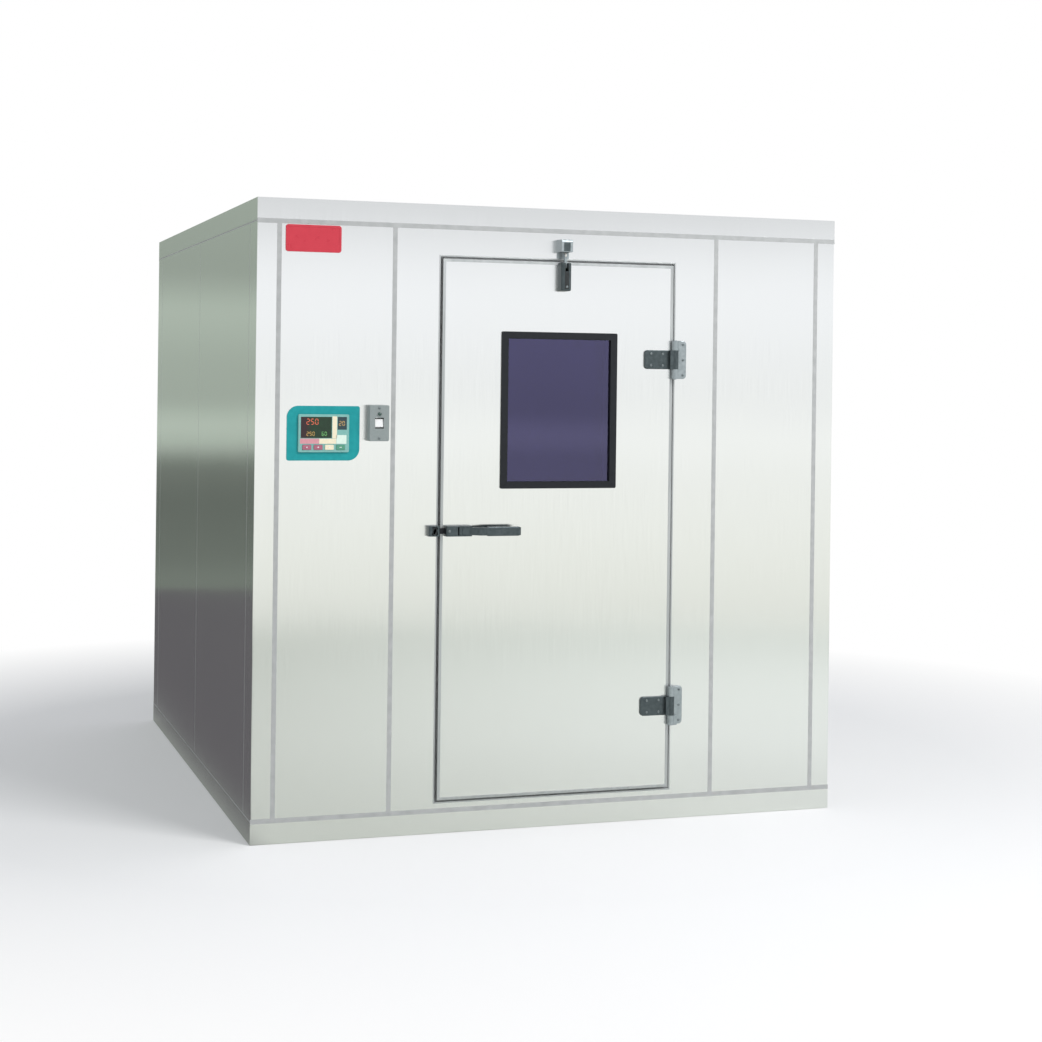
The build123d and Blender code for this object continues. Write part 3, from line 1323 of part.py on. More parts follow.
def drain_pipe():
    """The condensate drain: a tundish in the plenum and a straight stub out through the rear wall."""
    step_y = rear + drain_stub - drain_hose_length
    pipe = rod((drain_x, inner_rear - tundish_gap, drain_z), (drain_x, step_y, drain_z), drain_radius)
    shoulder = pipe.edges().filter_by(GeomType.CIRCLE).sort_by(Axis.Y)[-1]
    pipe = chamfer(shoulder, drain_radius - drain_hose_radius)
    pipe += rod((drain_x, step_y - 1.0, drain_z), (drain_x, rear + drain_stub, drain_z), drain_hose_radius)
    low, rim = drain_z - tundish_height / 2 + drain_offset, drain_z + tundish_height / 2 + drain_offset
    cup = rod((drain_x, tundish_y, low), (drain_x, tundish_y, rim), tundish_radius)
    leg = rod((drain_x, tundish_y, floor_top), (drain_x, tundish_y, low), drain_leg_radius)
    body = pipe.fuse(cup, leg)
    body -= rod((drain_x, tundish_y, drain_z), (drain_x, tundish_y, rim + 1), tundish_radius - sleeve_wall)
    start, end = (drain_x, tundish_y, drain_z), (drain_x, rear + drain_stub + 1, drain_z)
    return body - rod(start, end, drain_hose_radius - sleeve_wall)


def power_gland():
    """The supply cable's gland on the louvred panel: a hexagonal nut each side of the sheet."""
    y = (rear - sheet, rear)
    back, tip = y[0] - gland_thread, y[0] - gland_thread + gland_length
    nut = RegularPolygon(gland_nut, 6)
    outer = extrude(Plane(origin=(gland_x, y[1], gland_z), z_dir=(0, 1, 0)) * nut, gland_nut_height)
    dome = rod((gland_x, y[1] + gland_nut_height, gland_z), (gland_x, tip, gland_z), gland_dome)
    inner = extrude(Plane(origin=(gland_x, y[0], gland_z), z_dir=(0, -1, 0)) * nut, gland_nut_back)
    thread = rod((gland_x, back, gland_z), (gland_x, rear + sheet, gland_z), gland_radius + sleeve_wall)
    bore = bore_y(gland_x, gland_z, gland_radius, (back - 1, tip + 1))
    return outer.fuse(dome, inner, thread) - bore


def build():
    """Every node by name."""
    parts = {}
    tray, tread, floor_core = floor_panel()
    lid, ceiling, roof_core = roof_panel()
    posts = [corner_post(side, end) for side in (-1, 1) for end in (-1, 1)]
    left_wall, right_wall, back_wall = side_wall(-1), side_wall(1), rear_wall()
    right_wall = [tuple(piece - port_cut() for piece in panel) for panel in right_wall]
    back_wall = [tuple(piece - drain_cut() for piece in panel) for panel in back_wall]
    twin = sandwich(module(twin_line, inner_right), (front, inner_front), wall_z, "-y")
    divider = partition()
    surround_outer, surround_inner, surround_cores = door_surround()
    walls = left_wall + right_wall + back_wall
    parts["floor_outer_tray"] = tray
    parts["floor_tread_sheet"] = tread
    parts["roof_outer_skin"] = lid
    parts["corner_posts"] = group(*[post for post, _ in posts])
    parts["side_wall_outer_skins"] = group(*[panel[0] for panel in left_wall + right_wall])
    parts["rear_wall_outer_skins"] = group(*[panel[0] for panel in back_wall])
    parts["front_panel_skins"] = group(surround_outer, twin[0])
    parts["service_panel"] = service_panel()
    parts["louvre_panel"] = louvre_panel()
    liners = [panel[1] for panel in walls] + [twin[1], surround_inner, ceiling]
    parts["inner_skins"] = group(*liners)
    parts["partition_skins"] = group(*divider[:2])
    cores = [floor_core, roof_core] + [core for _, core in posts] + [panel[2] for panel in walls]
    parts["insulation_cores"] = group(*cores, twin[2], divider[2], *surround_cores)
    parts["door_frame"] = door_frame()
    parts["panel_joint_seals"] = group(*level_seals(), *upright_seals())

    outer, inner, slab, plug, carrier = door_leaf()
    parts["door_outer_skin"] = outer
    parts["door_inner_skin"] = inner
    parts["door_core"] = group(slab, plug)
    outer_frame, inner_frame, liner, panes = window()
    parts["door_edge_profiles"] = group(carrier, liner)
    parts["window_frames"] = group(outer_frame, inner_frame)
    parts["window_panes"] = group(*panes)
    parts["door_gasket"] = door_gasket()

    hinges = [hinge(z) for z in hinge_heights]
    parts["hinge_straps"] = group(*[strap for strap, _, _ in hinges])
    parts["hinge_flanges"] = group(*[piece for _, flange, pin in hinges for piece in (flange, pin)])
    parts["latch_body"] = latch_body()
    parts["latch_lever"] = latch_lever()
    parts["latch_bolt"] = latch_bolt()
    parts["latch_strike"] = latch_strike()
    parts["inside_release"] = inside_release()
    parts["closer_body"] = closer_body()
    parts["closer_arm"], parts["closer_roller"] = closer_arm()
    parts["closer_hook"] = closer_hook()

    parts["control_fascia"] = control_fascia()
    parts["controller_unit"] = controller_unit()
    parts["display_windows"] = display_windows()
    for number in range(key_count):
        parts[f"control_key_{number + 1}"] = key(number)
    parts["mains_switch_box"] = switch_box()
    parts["mains_rocker"] = rocker()

    parts["condensing_unit_base"] = unit_base()
    condenser_x = (plant_x - condenser_width / 2, plant_x + condenser_width / 2)
    condenser_z = (unit_top, unit_top + condenser_height)
    parts["condenser_coil"] = finned_coil(condenser_x, condenser_y, condenser_z, condenser_fins_drawn, coil_bends)
    rotor = axial_rotor(condenser_fan_radius, condenser_fan_chord)
    parts["condenser_fan"] = Pos(plant_x, condenser_fan_y, condenser_fan_z) * rotor
    parts["compressor"] = compressor()
    parts["refrigerant_pipes"] = refrigerant_pipes()
    parts["steam_humidifier"] = humidifier()
    parts["electrical_cabinet"] = electrical_cabinet()
    parts["plenum_baffle"] = plenum_baffle()
    parts["evaporator_coil"] = finned_coil(coil_x, coil_y, coil_z, coil_fins_drawn, coil_bends)
    parts["drip_tray"] = drip_tray()
    parts["heater_elements"] = heater_elements()
    rotor = axial_rotor(fan_radius, fan_chord)
    for name, middle in zip(("circulation_fan_left", "circulation_fan_right"), fan_x):
        parts[name] = Pos(middle, fan_y, fan_height) * rotor
    bridge = fan_radius + fan_hole_clearance + bridge_over
    motors = [fan_motor(middle, fan_y, fan_height, plenum_y + baffle_sheet, bridge) for middle in fan_x]
    bridge = condenser_fan_radius + fan_hole_clearance + bridge_over
    motors.append(fan_motor(plant_x, condenser_fan_y, condenser_fan_z, shroud_y, bridge))
    parts["fan_motors"] = group(*motors)
    parts["storage_rack"] = storage_rack()
    parts["ceiling_lamp"] = group(*ceiling_lamp())
    parts["cable_port_sleeve"] = port_sleeve()
    parts["drain_pipe"] = drain_pipe()
    parts["supply_gland"] = power_gland()
    return parts


os.makedirs("parts", exist_ok=True)
for name, shape in build().items():
    export_step(shape, f"parts/{name}.step")
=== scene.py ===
# %% [markdown]
# A walk-in environmental test chamber.
# It is a small room of steel sandwich panels that holds a set heat and damp inside.
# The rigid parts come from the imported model. This lesson gives them their finishes,
# adds the small pieces that a maker would buy in or stick on, and sets up the picture.

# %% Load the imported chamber
import math

import bmesh
import bpy
from mathutils import Matrix, Vector


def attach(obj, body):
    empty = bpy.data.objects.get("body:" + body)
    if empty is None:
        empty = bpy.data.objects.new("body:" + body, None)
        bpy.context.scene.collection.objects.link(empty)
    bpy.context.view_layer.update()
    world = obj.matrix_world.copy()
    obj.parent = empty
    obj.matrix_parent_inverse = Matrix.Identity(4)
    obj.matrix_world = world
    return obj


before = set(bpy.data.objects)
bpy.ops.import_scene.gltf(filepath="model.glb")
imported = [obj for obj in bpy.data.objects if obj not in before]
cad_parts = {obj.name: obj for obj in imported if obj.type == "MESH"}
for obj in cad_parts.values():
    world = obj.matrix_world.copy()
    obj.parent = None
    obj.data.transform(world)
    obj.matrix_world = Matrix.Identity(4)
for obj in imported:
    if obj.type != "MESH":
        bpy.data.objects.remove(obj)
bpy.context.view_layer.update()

# %% [markdown]
# The camera. The photo was taken from a little left of the chamber, at eye height, from
# eight metres away with a short telephoto lens. The upright edges stay upright, so the
# camera isn't tilted: the picture is moved down by a small shift instead. It leans to one
# side by less than a degree.

# %% Place the camera
eye = Vector((-2.386, -7.999, 1.668))
camera_data = bpy.data.cameras.new("photo_camera")
camera_data.sensor_width = 36
camera_data.lens = 65.99
camera_data.shift_y = -0.137
camera = bpy.data.objects.new("photo_camera", camera_data)
camera.location = eye
camera.rotation_euler = (math.radians(90), math.radians(-0.72), math.radians(-18.42))
bpy.context.scene.collection.objects.link(camera)
bpy.context.scene.camera = camera
bpy.context.scene.view_settings.view_transform = "Standard"
print("camera", round(eye.length, 2), "m from the middle of the floor")

# %% [markdown]
# Node helpers. Every finish below is built from the same few steps: a place on the
# piece, a noise read at that place, and a range that the noise is spread over. Keeping
# these as small functions leaves each finish short enough to read in one go.

# %% Helpers for finishes
def node(tree, kind, **inputs):
    made = tree.nodes.new("ShaderNode" + kind)
    for name, value in inputs.items():
        made.inputs[name.replace("_", " ")].default_value = value
    return made


def grain_at(tree, stretch):
    place = node(tree, "TexCoord")
    scaled = node(tree, "Mapping", Scale=stretch)
    tree.links.new(place.outputs["Object"], scaled.inputs["Vector"])
    return scaled.outputs["Vector"]


def noise(tree, place, scale, detail=3.0):
    made = node(tree, "TexNoise", Scale=scale, Detail=detail)
    tree.links.new(place, made.inputs["Vector"])
    return made.outputs["Fac"]


def spread(tree, value, low, high, start=0.3, end=0.7):
    made = node(tree, "MapRange")
    for socket, number in zip(("From Min", "From Max", "To Min", "To Max"), (start, end, low, high)):
        made.inputs[socket].default_value = number
    tree.links.new(value, made.inputs["Value"])
    return made.outputs["Result"]


def tint(tree, value, dark, light):
    made = tree.nodes.new("ShaderNodeMix")
    made.data_type = "RGBA"
    made.inputs["A"].default_value = (*dark, 1)
    made.inputs["B"].default_value = (*light, 1)
    tree.links.new(value, made.inputs["Factor"])
    return made.outputs["Result"]


def relief(tree, shader, height, depth, strength=1.0):
    bump = node(tree, "Bump", Distance=depth, Strength=strength)
    tree.links.new(height, bump.inputs["Height"])
    tree.links.new(bump.outputs["Normal"], shader.inputs["Normal"])
    return bump


def shader_of(material):
    return material.node_tree.nodes["Principled BSDF"]


def plain(name, metallic=0.0, **sockets):
    material = bpy.data.materials.new(name)
    material.use_nodes = True
    shader_of(material).inputs["Metallic"].default_value = metallic
    for socket, value in sockets.items():
        shader_of(material).inputs[socket.replace("_", " ")].default_value = value
    return material


print("helpers ready")

# %% [markdown]
# The studio. The photo is a cut-out on white, so the camera sees plain white all round.
# The steel sees something else: a bright studio wall with softer bands in it, which is
# what makes the long level bands on the brushed panels. Behind the chamber on the left
# the studio is dark, and the left wall reflects that. A band depends only on the height
# of the reflected ray, so two ramps over that height are enough: one front, one behind.

# %% Build the studio world
reach = 0.20


def ramp(tree, value, stops):
    made = tree.nodes.new("ShaderNodeValToRGB")
    points = made.color_ramp.elements
    while len(points) < len(stops):
        points.new(0.5)
    for point, (at, level) in zip(points, stops):
        point.position = (at + reach) / (2 * reach)
        point.color = (level, level, level, 1)
    tree.links.new(value, made.inputs["Fac"])
    return made.outputs["Color"]


world = bpy.data.worlds.new("studio")
bpy.context.scene.world = world
world.use_nodes = True
sky = world.node_tree
sky.nodes.clear()
ray = node(sky, "TexCoord")
parts = node(sky, "SeparateXYZ")
sky.links.new(ray.outputs["Generated"], parts.inputs["Vector"])
height = spread(sky, parts.outputs["Z"], 0, 1, -reach, reach)
warm_below = spread(sky, parts.outputs["Z"], 0, 1, -0.10, 0.03)
front_stops = [
    (-0.200, 0.60), (-0.134, 0.60), (-0.120, 0.78), (-0.090, 0.80), (-0.074, 0.84),
    (-0.054, 0.82), (-0.040, 0.80), (-0.034, 1.00), (-0.027, 1.00), (-0.019, 0.77),
    (0.012, 0.84), (0.046, 0.93), (0.066, 0.88), (0.084, 0.62), (0.200, 0.58)]
back_stops = [
    (-0.200, 0.11), (-0.118, 0.11), (-0.108, 0.19), (-0.095, 0.14), (-0.066, 0.11),
    (-0.046, 0.13), (-0.036, 0.44), (-0.026, 0.51), (-0.014, 0.35), (0.008, 0.37),
    (0.034, 0.45), (0.052, 0.30), (0.200, 0.46)]
front_bands = ramp(sky, height, front_stops)
back_bands = ramp(sky, height, back_stops)
behind = spread(sky, parts.outputs["Y"], 0, 1, 0.0, 0.35)
left_side = spread(sky, parts.outputs["X"], 1, 0, -0.05, 0.30)
print("bands:", len(front_stops), "in front,", len(back_stops), "behind")

# %% Mix the studio for each kind of ray
def times(tree, one, two):
    made = tree.nodes.new("ShaderNodeMath")
    made.operation = "MULTIPLY"
    for socket, value in zip(made.inputs, (one, two)):
        if isinstance(value, float):
            socket.default_value = value
        else:
            tree.links.new(value, socket)
    return made.outputs["Value"]


def blend(tree, factor, one, two):
    made = tree.nodes.new("ShaderNodeMix")
    made.data_type = "RGBA"
    for socket, value in zip(("Factor", "A", "B"), (factor, one, two)):
        if isinstance(value, (tuple, float)):
            made.inputs[socket].default_value = value
        else:
            tree.links.new(value, made.inputs[socket])
    return made.outputs["Result"]


def toned(tree, one, two):
    made = blend(tree, 1.0, one, two)
    made.node.blend_type = "MULTIPLY"
    return made


white = (1, 1, 1, 1)
dark_corner = times(sky, behind, left_side)
bands = blend(sky, dark_corner, front_bands, back_bands)
cast = blend(sky, warm_below, (0.97, 1.0, 0.935, 1), (0.975, 1.0, 1.03, 1))
cast = blend(sky, dark_corner, cast, (0.88, 1.02, 0.88, 1))
mirror_view = toned(sky, bands, cast)
paths = node(sky, "LightPath")
soft_fill = blend(sky, paths.outputs["Is Diffuse Ray"], mirror_view, (0.54, 0.55, 0.57, 1))
mirror_light = node(sky, "Background", Strength=1.29)
sky.links.new(soft_fill, mirror_light.inputs["Color"])
seen_light = node(sky, "Background", Color=white, Strength=1.0)
switch = node(sky, "MixShader")
sky.links.new(paths.outputs["Is Camera Ray"], switch.inputs[0])
sky.links.new(mirror_light.outputs[0], switch.inputs[1])
sky.links.new(seen_light.outputs[0], switch.inputs[2])
output = node(sky, "OutputWorld")
sky.links.new(switch.outputs[0], output.inputs["Surface"])
print("the camera sees white, the steel sees the studio")

# %% [markdown]
# The floor. It is a pale disc that keeps the chamber's soft shadow close in and fades to
# the white of the background further out. The polished walls also look at it: on the
# left, where the studio is dark, the floor is dark to them as well.

# %% Make the floor
bpy.ops.object.select_all(action="DESELECT")
floor_radius = 7.2
bpy.ops.mesh.primitive_circle_add(vertices=96, radius=floor_radius, fill_type="NGON", location=(0, 0, -0.001))
floor = bpy.context.object
floor.name = "studio_floor"
floor_paint = plain("floor_paint", Roughness=0.9, Base_Color=(0.86, 0.86, 0.86, 1), Specular_IOR_Level=0.1)
tree = floor_paint.node_tree
paths = node(tree, "LightPath")
place = node(tree, "TexCoord")
away = node(tree, "VectorMath")
away.operation = "LENGTH"
tree.links.new(place.outputs["Object"], away.inputs[0])
faded = spread(tree, away.outputs["Value"], 0, 1, 2.3, 4.2)
spots = node(tree, "SeparateXYZ")
tree.links.new(place.outputs["Object"], spots.inputs["Vector"])
left_of_wall = spread(tree, spots.outputs["X"], 1, 0, -1.30, -1.05)
beside_wall = spread(tree, spots.outputs["Y"], 0, 1, -2.2, -1.2)
dark_floor = times(tree, times(tree, left_of_wall, beside_wall), paths.outputs["Is Glossy Ray"])
grey_far = spread(tree, away.outputs["Value"], 0, 1, 3.0, 6.6)
near_right = spread(tree, spots.outputs["X"], 0, 1, -0.8, 3.2)
near_floor = blend(tree, near_right, (0.66, 0.69, 0.635, 1), (0.90, 0.93, 0.90, 1))
far_floor = blend(tree, near_right, (0.50, 0.53, 0.475, 1), (0.66, 0.70, 0.65, 1))
mirrored = blend(tree, grey_far, near_floor, far_floor)
seen = blend(tree, paths.outputs["Is Glossy Ray"], (0.86, 0.86, 0.86, 1), mirrored)
tree.links.new(seen, shader_of(floor_paint).inputs["Base Color"])
glow = node(tree, "Emission", Color=white, Strength=1.0)
shade = node(tree, "Emission", Color=(0.135, 0.13, 0.14, 1), Strength=1.0)
to_white = node(tree, "MixShader")
tree.links.new(times(tree, faded, paths.outputs["Is Camera Ray"]), to_white.inputs[0])
tree.links.new(shader_of(floor_paint).outputs[0], to_white.inputs[1])
tree.links.new(glow.outputs[0], to_white.inputs[2])
to_dark = node(tree, "MixShader")
tree.links.new(dark_floor, to_dark.inputs[0])
tree.links.new(to_white.outputs[0], to_dark.inputs[1])
tree.links.new(shade.outputs[0], to_dark.inputs[2])
tree.links.new(to_dark.outputs[0], tree.nodes["Material Output"].inputs["Surface"])
floor.data.materials.append(floor_paint)
print("floor radius", floor_radius)

# %% [markdown]
# One large soft lamp, high on the right, rounds off the small castings and lays the
# short shadow. The world does the rest of the lighting.

# %% Hang the soft lamp
lamp_data = bpy.data.lights.new("soft_lamp", "AREA")
lamp_data.shape = "SQUARE"
lamp_data.size = 3.0
lamp_data.energy = 300
soft_lamp = bpy.data.objects.new("soft_lamp", lamp_data)
soft_lamp.location = (2.6, -6.0, 6.0)
soft_lamp.rotation_euler = (Vector((0, -1.2, 1.0)) - soft_lamp.location).to_track_quat("-Z", "Y").to_euler()
bpy.context.scene.collection.objects.link(soft_lamp)
print("lamp", lamp_data.energy, "W")

# %% [markdown]
# Brushed stainless steel. The sheets are ground in one direction, here up and down, so a
# reflection spreads sideways and stays sharp in height. That is anisotropy with a level
# tangent. The ground lines are noise stretched more than a hundred times along the
# height, and the sheet is never quite flat, so a very long shallow wave goes in as well.

# %% Mix the brushed steel
def brushed(name, colour, rough, streak, wave):
    steel = plain(name, metallic=1.0, Anisotropic=0.92)
    tree, shader = steel.node_tree, shader_of(steel)
    facing = node(tree, "NewGeometry")
    level = node(tree, "VectorMath")
    level.operation = "CROSS_PRODUCT"
    level.inputs[1].default_value = (0, 0, 1)
    tree.links.new(facing.outputs["Normal"], level.inputs[0])
    nudged = node(tree, "VectorMath")
    nudged.inputs[1].default_value = (0, 0.001, 0)
    tree.links.new(level.outputs[0], nudged.inputs[0])
    tree.links.new(nudged.outputs[0], shader.inputs["Tangent"])
    lines = noise(tree, grain_at(tree, (900, 900, 7)), 1.0, 4.0)
    cloud = noise(tree, grain_at(tree, (1, 1, 0.5)), 1.7, 2.0)
    both = blend(tree, spread(tree, lines, 0.15, 0.85), (0, 0, 0, 1), white)
    light = tuple(min(1.0, c * (1 + streak)) for c in colour)
    dark = tuple(c * (1 - streak) for c in colour)
    tree.links.new(tint(tree, both, dark, light), shader.inputs["Base Color"])
    tree.links.new(spread(tree, lines, rough * 0.8, rough * 1.25), shader.inputs["Roughness"])
    fine = relief(tree, shader, lines, 0.00002, 0.35)
    broad = node(tree, "Bump", Distance=wave, Strength=1.0)
    tree.links.new(cloud, broad.inputs["Height"])
    tree.links.new(broad.outputs["Normal"], fine.inputs["Normal"])
    return steel


outer_steel = brushed("outer_steel", (0.80, 0.80, 0.79), 0.17, 0.045, 0.0012)
inner_steel = brushed("inner_steel", (0.70, 0.71, 0.71), 0.26, 0.05, 0.0008)
print("steel:", outer_steel.name, inner_steel.name)

# %% [markdown]
# The cast fittings. Handle, hinges and closer are zinc castings with a dark satin
# plating. A casting shows a fine pebble in its skin, and its shine is uneven. Noise gives
# the pebble, and a second, larger noise shifts the colour and the shine.

# %% Mix the cast and moulded finishes
def skinned(name, dark, light, rough, pebble, size, metallic=0.0, stretch=(1, 1, 1), **sockets):
    made = plain(name, metallic=metallic, **sockets)
    tree, shader = made.node_tree, shader_of(made)
    patches = noise(tree, grain_at(tree, stretch), size * 0.12, 3.0)
    skin = noise(tree, grain_at(tree, stretch), size, 4.0)
    tree.links.new(tint(tree, spread(tree, patches, 0, 1), dark, light), shader.inputs["Base Color"])
    tree.links.new(spread(tree, patches, rough * 0.85, rough * 1.2), shader.inputs["Roughness"])
    relief(tree, shader, skin, pebble)
    return made


skinned("dark_casting", (0.060, 0.077, 0.083), (0.092, 0.112, 0.120), 0.34, 0.00006, 700, 0.75)
skinned("pale_casting", (0.30, 0.34, 0.355), (0.38, 0.42, 0.435), 0.33, 0.00006, 700, 0.80)
skinned("bright_zinc", (0.50, 0.51, 0.50), (0.64, 0.64, 0.62), 0.32, 0.00004, 500, 1.0)
skinned("strap_casting", (0.060, 0.075, 0.080), (0.090, 0.110, 0.116), 0.36, 0.00006, 700, 0.75)
skinned("teal_coat", (0.006, 0.280, 0.295), (0.010, 0.320, 0.335), 0.36, 0.00008, 420,
        Specular_IOR_Level=0.3)
skinned("mint_plastic", (0.18, 0.42, 0.38), (0.22, 0.47, 0.43), 0.42, 0.00004, 1500)
skinned("box_plastic", (0.22, 0.255, 0.25), (0.27, 0.305, 0.30), 0.45, 0.00004, 1800)
skinned("white_plastic", (0.80, 0.81, 0.80), (0.86, 0.86, 0.85), 0.32, 0.00003, 1500, Coat_Weight=0.2)
skinned("roller_nylon", (0.68, 0.67, 0.62), (0.76, 0.75, 0.70), 0.45, 0.00004, 1200)
for name in ("door_rubber", "blackened_bolt"):
    skinned(name, (0.008, 0.009, 0.012), (0.015, 0.017, 0.021), 0.58, 0.00006, 900, Specular_IOR_Level=0.25)
skinned("edge_plastic", (0.60, 0.615, 0.62), (0.68, 0.695, 0.70), 0.46, 0.00005, 800)
skinned("joint_sealant", (0.19, 0.20, 0.205), (0.26, 0.27, 0.275), 0.50, 0.0001, 320)
print("castings and mouldings ready")

# %% [markdown]
# Plant and inside finishes. From the front they only show with the door open.
# Copper goes brown in patches, powder coat has a slight orange peel, and cut foam shows
# its cells.

# %% Mix the plant finishes
skinned("pipe_copper", (0.52, 0.22, 0.12), (0.80, 0.42, 0.27), 0.30, 0.00005, 260, 1.0)
skinned("plant_paint", (0.018, 0.019, 0.020), (0.034, 0.036, 0.037), 0.44, 0.00012, 380)
skinned("boiler_finish", (0.46, 0.47, 0.47), (0.60, 0.61, 0.60), 0.30, 0.00004, 300, 1.0)
skinned("cabinet_coat", (0.50, 0.52, 0.52), (0.56, 0.58, 0.58), 0.42, 0.0001, 500)
skinned("motor_coat", (0.10, 0.13, 0.15), (0.15, 0.18, 0.20), 0.42, 0.00012, 420)
skinned("blade_metal", (0.62, 0.63, 0.64), (0.74, 0.75, 0.76), 0.30, 0.00005, 350, 1.0)
skinned("port_grey", (0.62, 0.63, 0.61), (0.70, 0.71, 0.69), 0.40, 0.00005, 900)
skinned("release_paint", (0.05, 0.30, 0.10), (0.08, 0.38, 0.14), 0.40, 0.00004, 900, Coat_Weight=0.3)
skinned("cut_foam", (0.62, 0.52, 0.30), (0.74, 0.65, 0.42), 0.85, 0.0006, 260)
skinned("opal_cover", (0.82, 0.82, 0.79), (0.88, 0.88, 0.86), 0.28, 0.00003, 300, Coat_Weight=0.4)
print("plant finishes ready")

# %% [markdown]
# Coil fins. A cooling coil is hundreds of thin plates on tubes. The imported block is
# solid, so a wave across the block draws the plates, with painted shade between them.

# %% Mix the coil fins
fin_waves = 78.0
fin_stack = plain("fin_stack", metallic=0.9)
tree, shader = fin_stack.node_tree, shader_of(fin_stack)
plates = node(tree, "TexWave", Scale=fin_waves, Distortion=0.0)
plates.wave_type = "BANDS"
plates.bands_direction = "X"
tree.links.new(grain_at(tree, (1, 1, 1)), plates.inputs["Vector"])
# Near black between the plates is painted shade; the light tone is the fins' own metal.
fin_face_over_gap_shade = spread(tree, plates.outputs["Fac"], 0, 1, 0.25, 0.75)
tree.links.new(tint(tree, fin_face_over_gap_shade, (0.05, 0.05, 0.055), (0.72, 0.73, 0.74)), shader.inputs["Base Color"])
dulled = spread(tree, noise(tree, grain_at(tree, (1, 1, 1)), 60), 0.30, 0.45)
tree.links.new(dulled, shader.inputs["Roughness"])
relief(tree, shader, plates.outputs["Fac"], 0.0008)
print("fin pitch", round(1 / fin_waves * math.pi / 10 * 1000, 1), "mm")

# %% [markdown]
# Window glass. The panes are heated glass with a metal film, which makes them a deep
# violet from outside. The colour sits in the glass itself, so light is stained once on
# the way in and once on the way out. The film mirrors more than bare glass does, and its
# mirror image is violet too. The displays lie behind a lens stained by place: wine red,
# then green, then slate.

# %% Mix the glass and the displays
violet_glass = plain("violet_glass", Transmission_Weight=1.0, IOR=2.0, Specular_Tint=(0.62, 0.58, 1.0, 1))
tree, shader = violet_glass.node_tree, shader_of(violet_glass)
film = spread(tree, noise(tree, grain_at(tree, (1, 1, 1)), 3.0, 2.0), 0, 1)
tree.links.new(tint(tree, film, (0.105, 0.095, 0.22), (0.13, 0.12, 0.26)), shader.inputs["Base Color"])
wiped = spread(tree, noise(tree, grain_at(tree, (1, 1, 1)), 40.0), 0.02, 0.05)
tree.links.new(wiped, shader.inputs["Roughness"])
stained_lens = skinned("stained_lens", (0.006, 0.026, 0.010), (0.010, 0.038, 0.016), 0.16, 0.00001, 900,
                       Specular_IOR_Level=0.45)
tree = stained_lens.node_tree
across = node(tree, "SeparateXYZ")
tree.links.new(grain_at(tree, (1, 1, 1)), across.inputs["Vector"])
stain = shader_of(stained_lens).inputs["Base Color"]
green = stain.links[0].from_socket
wine = spread(tree, across.outputs["X"], 1, 0, -0.960, -0.935)
slate = spread(tree, across.outputs["X"], 0, 1, -0.856, -0.852)
stained = blend(tree, wine, green, (0.028, 0.010, 0.014, 1))
tree.links.new(blend(tree, slate, stained, (0.022, 0.050, 0.060, 1)), stain)
print("glass ready")

# %% [markdown]
# The walkable floor. Walk-in rooms have a rolled tread sheet under foot: short raised
# bars, laid crosswise in turn. A checker picks which way a bar runs, and a wave draws it.

# %% Mix the tread sheet
cells_per_metre, bar_waves = 33.0, 10.4
tread_steel = plain("tread_steel", metallic=1.0)
tree, shader = tread_steel.node_tree, shader_of(tread_steel)
cells = node(tree, "TexChecker", Scale=cells_per_metre)
tree.links.new(grain_at(tree, (1, 1, 0)), cells.inputs["Vector"])
across = node(tree, "TexWave", Scale=bar_waves)
across.bands_direction = "X"
along = node(tree, "TexWave", Scale=bar_waves)
along.bands_direction = "Y"
for bars in (across, along):
    tree.links.new(grain_at(tree, (1, 1, 0)), bars.inputs["Vector"])
bars = blend(tree, cells.outputs["Fac"], across.outputs["Color"], along.outputs["Color"])
raised = spread(tree, bars, 0, 1, 0.62, 0.92)
relief(tree, shader, raised, 0.0012)
tree.links.new(tint(tree, raised, (0.42, 0.43, 0.43), (0.62, 0.62, 0.61)), shader.inputs["Base Color"])
tree.links.new(spread(tree, raised, 0.42, 0.26, 0, 1), shader.inputs["Roughness"])
print("tread bars every", round(1000 / cells_per_metre), "mm")

# %% [markdown]
# Which piece wears which finish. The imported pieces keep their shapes: only the material
# in each slot is changed. The four keys are left for later, when their fields are laid.

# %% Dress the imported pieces
wears = {
    "outer_steel": ["floor_outer_tray", "roof_outer_skin", "corner_posts", "side_wall_outer_skins",
                    "rear_wall_outer_skins", "front_panel_skins", "service_panel", "louvre_panel",
                    "door_outer_skin"],
    "inner_steel": ["inner_skins", "partition_skins", "door_inner_skin", "plenum_baffle", "drip_tray"],
    "tread_steel": ["floor_tread_sheet"],
    "dark_casting": ["latch_body", "latch_lever", "latch_strike"],
    "strap_casting": ["hinge_straps", "closer_body"],
    "pale_casting": ["hinge_flanges", "closer_arm", "closer_hook"],
    "bright_zinc": ["storage_rack"],
    "teal_coat": ["control_fascia"],
    "mint_plastic": ["controller_unit"],
    "box_plastic": ["mains_switch_box"],
    "white_plastic": ["mains_rocker"],
    "roller_nylon": ["closer_roller"],
    "door_rubber": ["door_gasket", "window_frames"],
    "blackened_bolt": ["latch_bolt"],
    "edge_plastic": ["door_edge_profiles", "door_frame"],
    "joint_sealant": ["panel_joint_seals"],
    "violet_glass": ["window_panes"],
    "stained_lens": ["display_windows"],
    "pipe_copper": ["refrigerant_pipes"],
    "plant_paint": ["compressor", "condensing_unit_base"],
    "boiler_finish": ["steam_humidifier", "heater_elements"],
    "cabinet_coat": ["electrical_cabinet"],
    "motor_coat": ["fan_motors"],
    "blade_metal": ["circulation_fan_left", "circulation_fan_right", "condenser_fan"],
    "fin_stack": ["condenser_coil", "evaporator_coil"],
    "port_grey": ["cable_port_sleeve", "drain_pipe", "supply_gland"],
    "release_paint": ["inside_release"],
    "cut_foam": ["insulation_cores", "door_core"],
    "opal_cover": ["ceiling_lamp"],
}
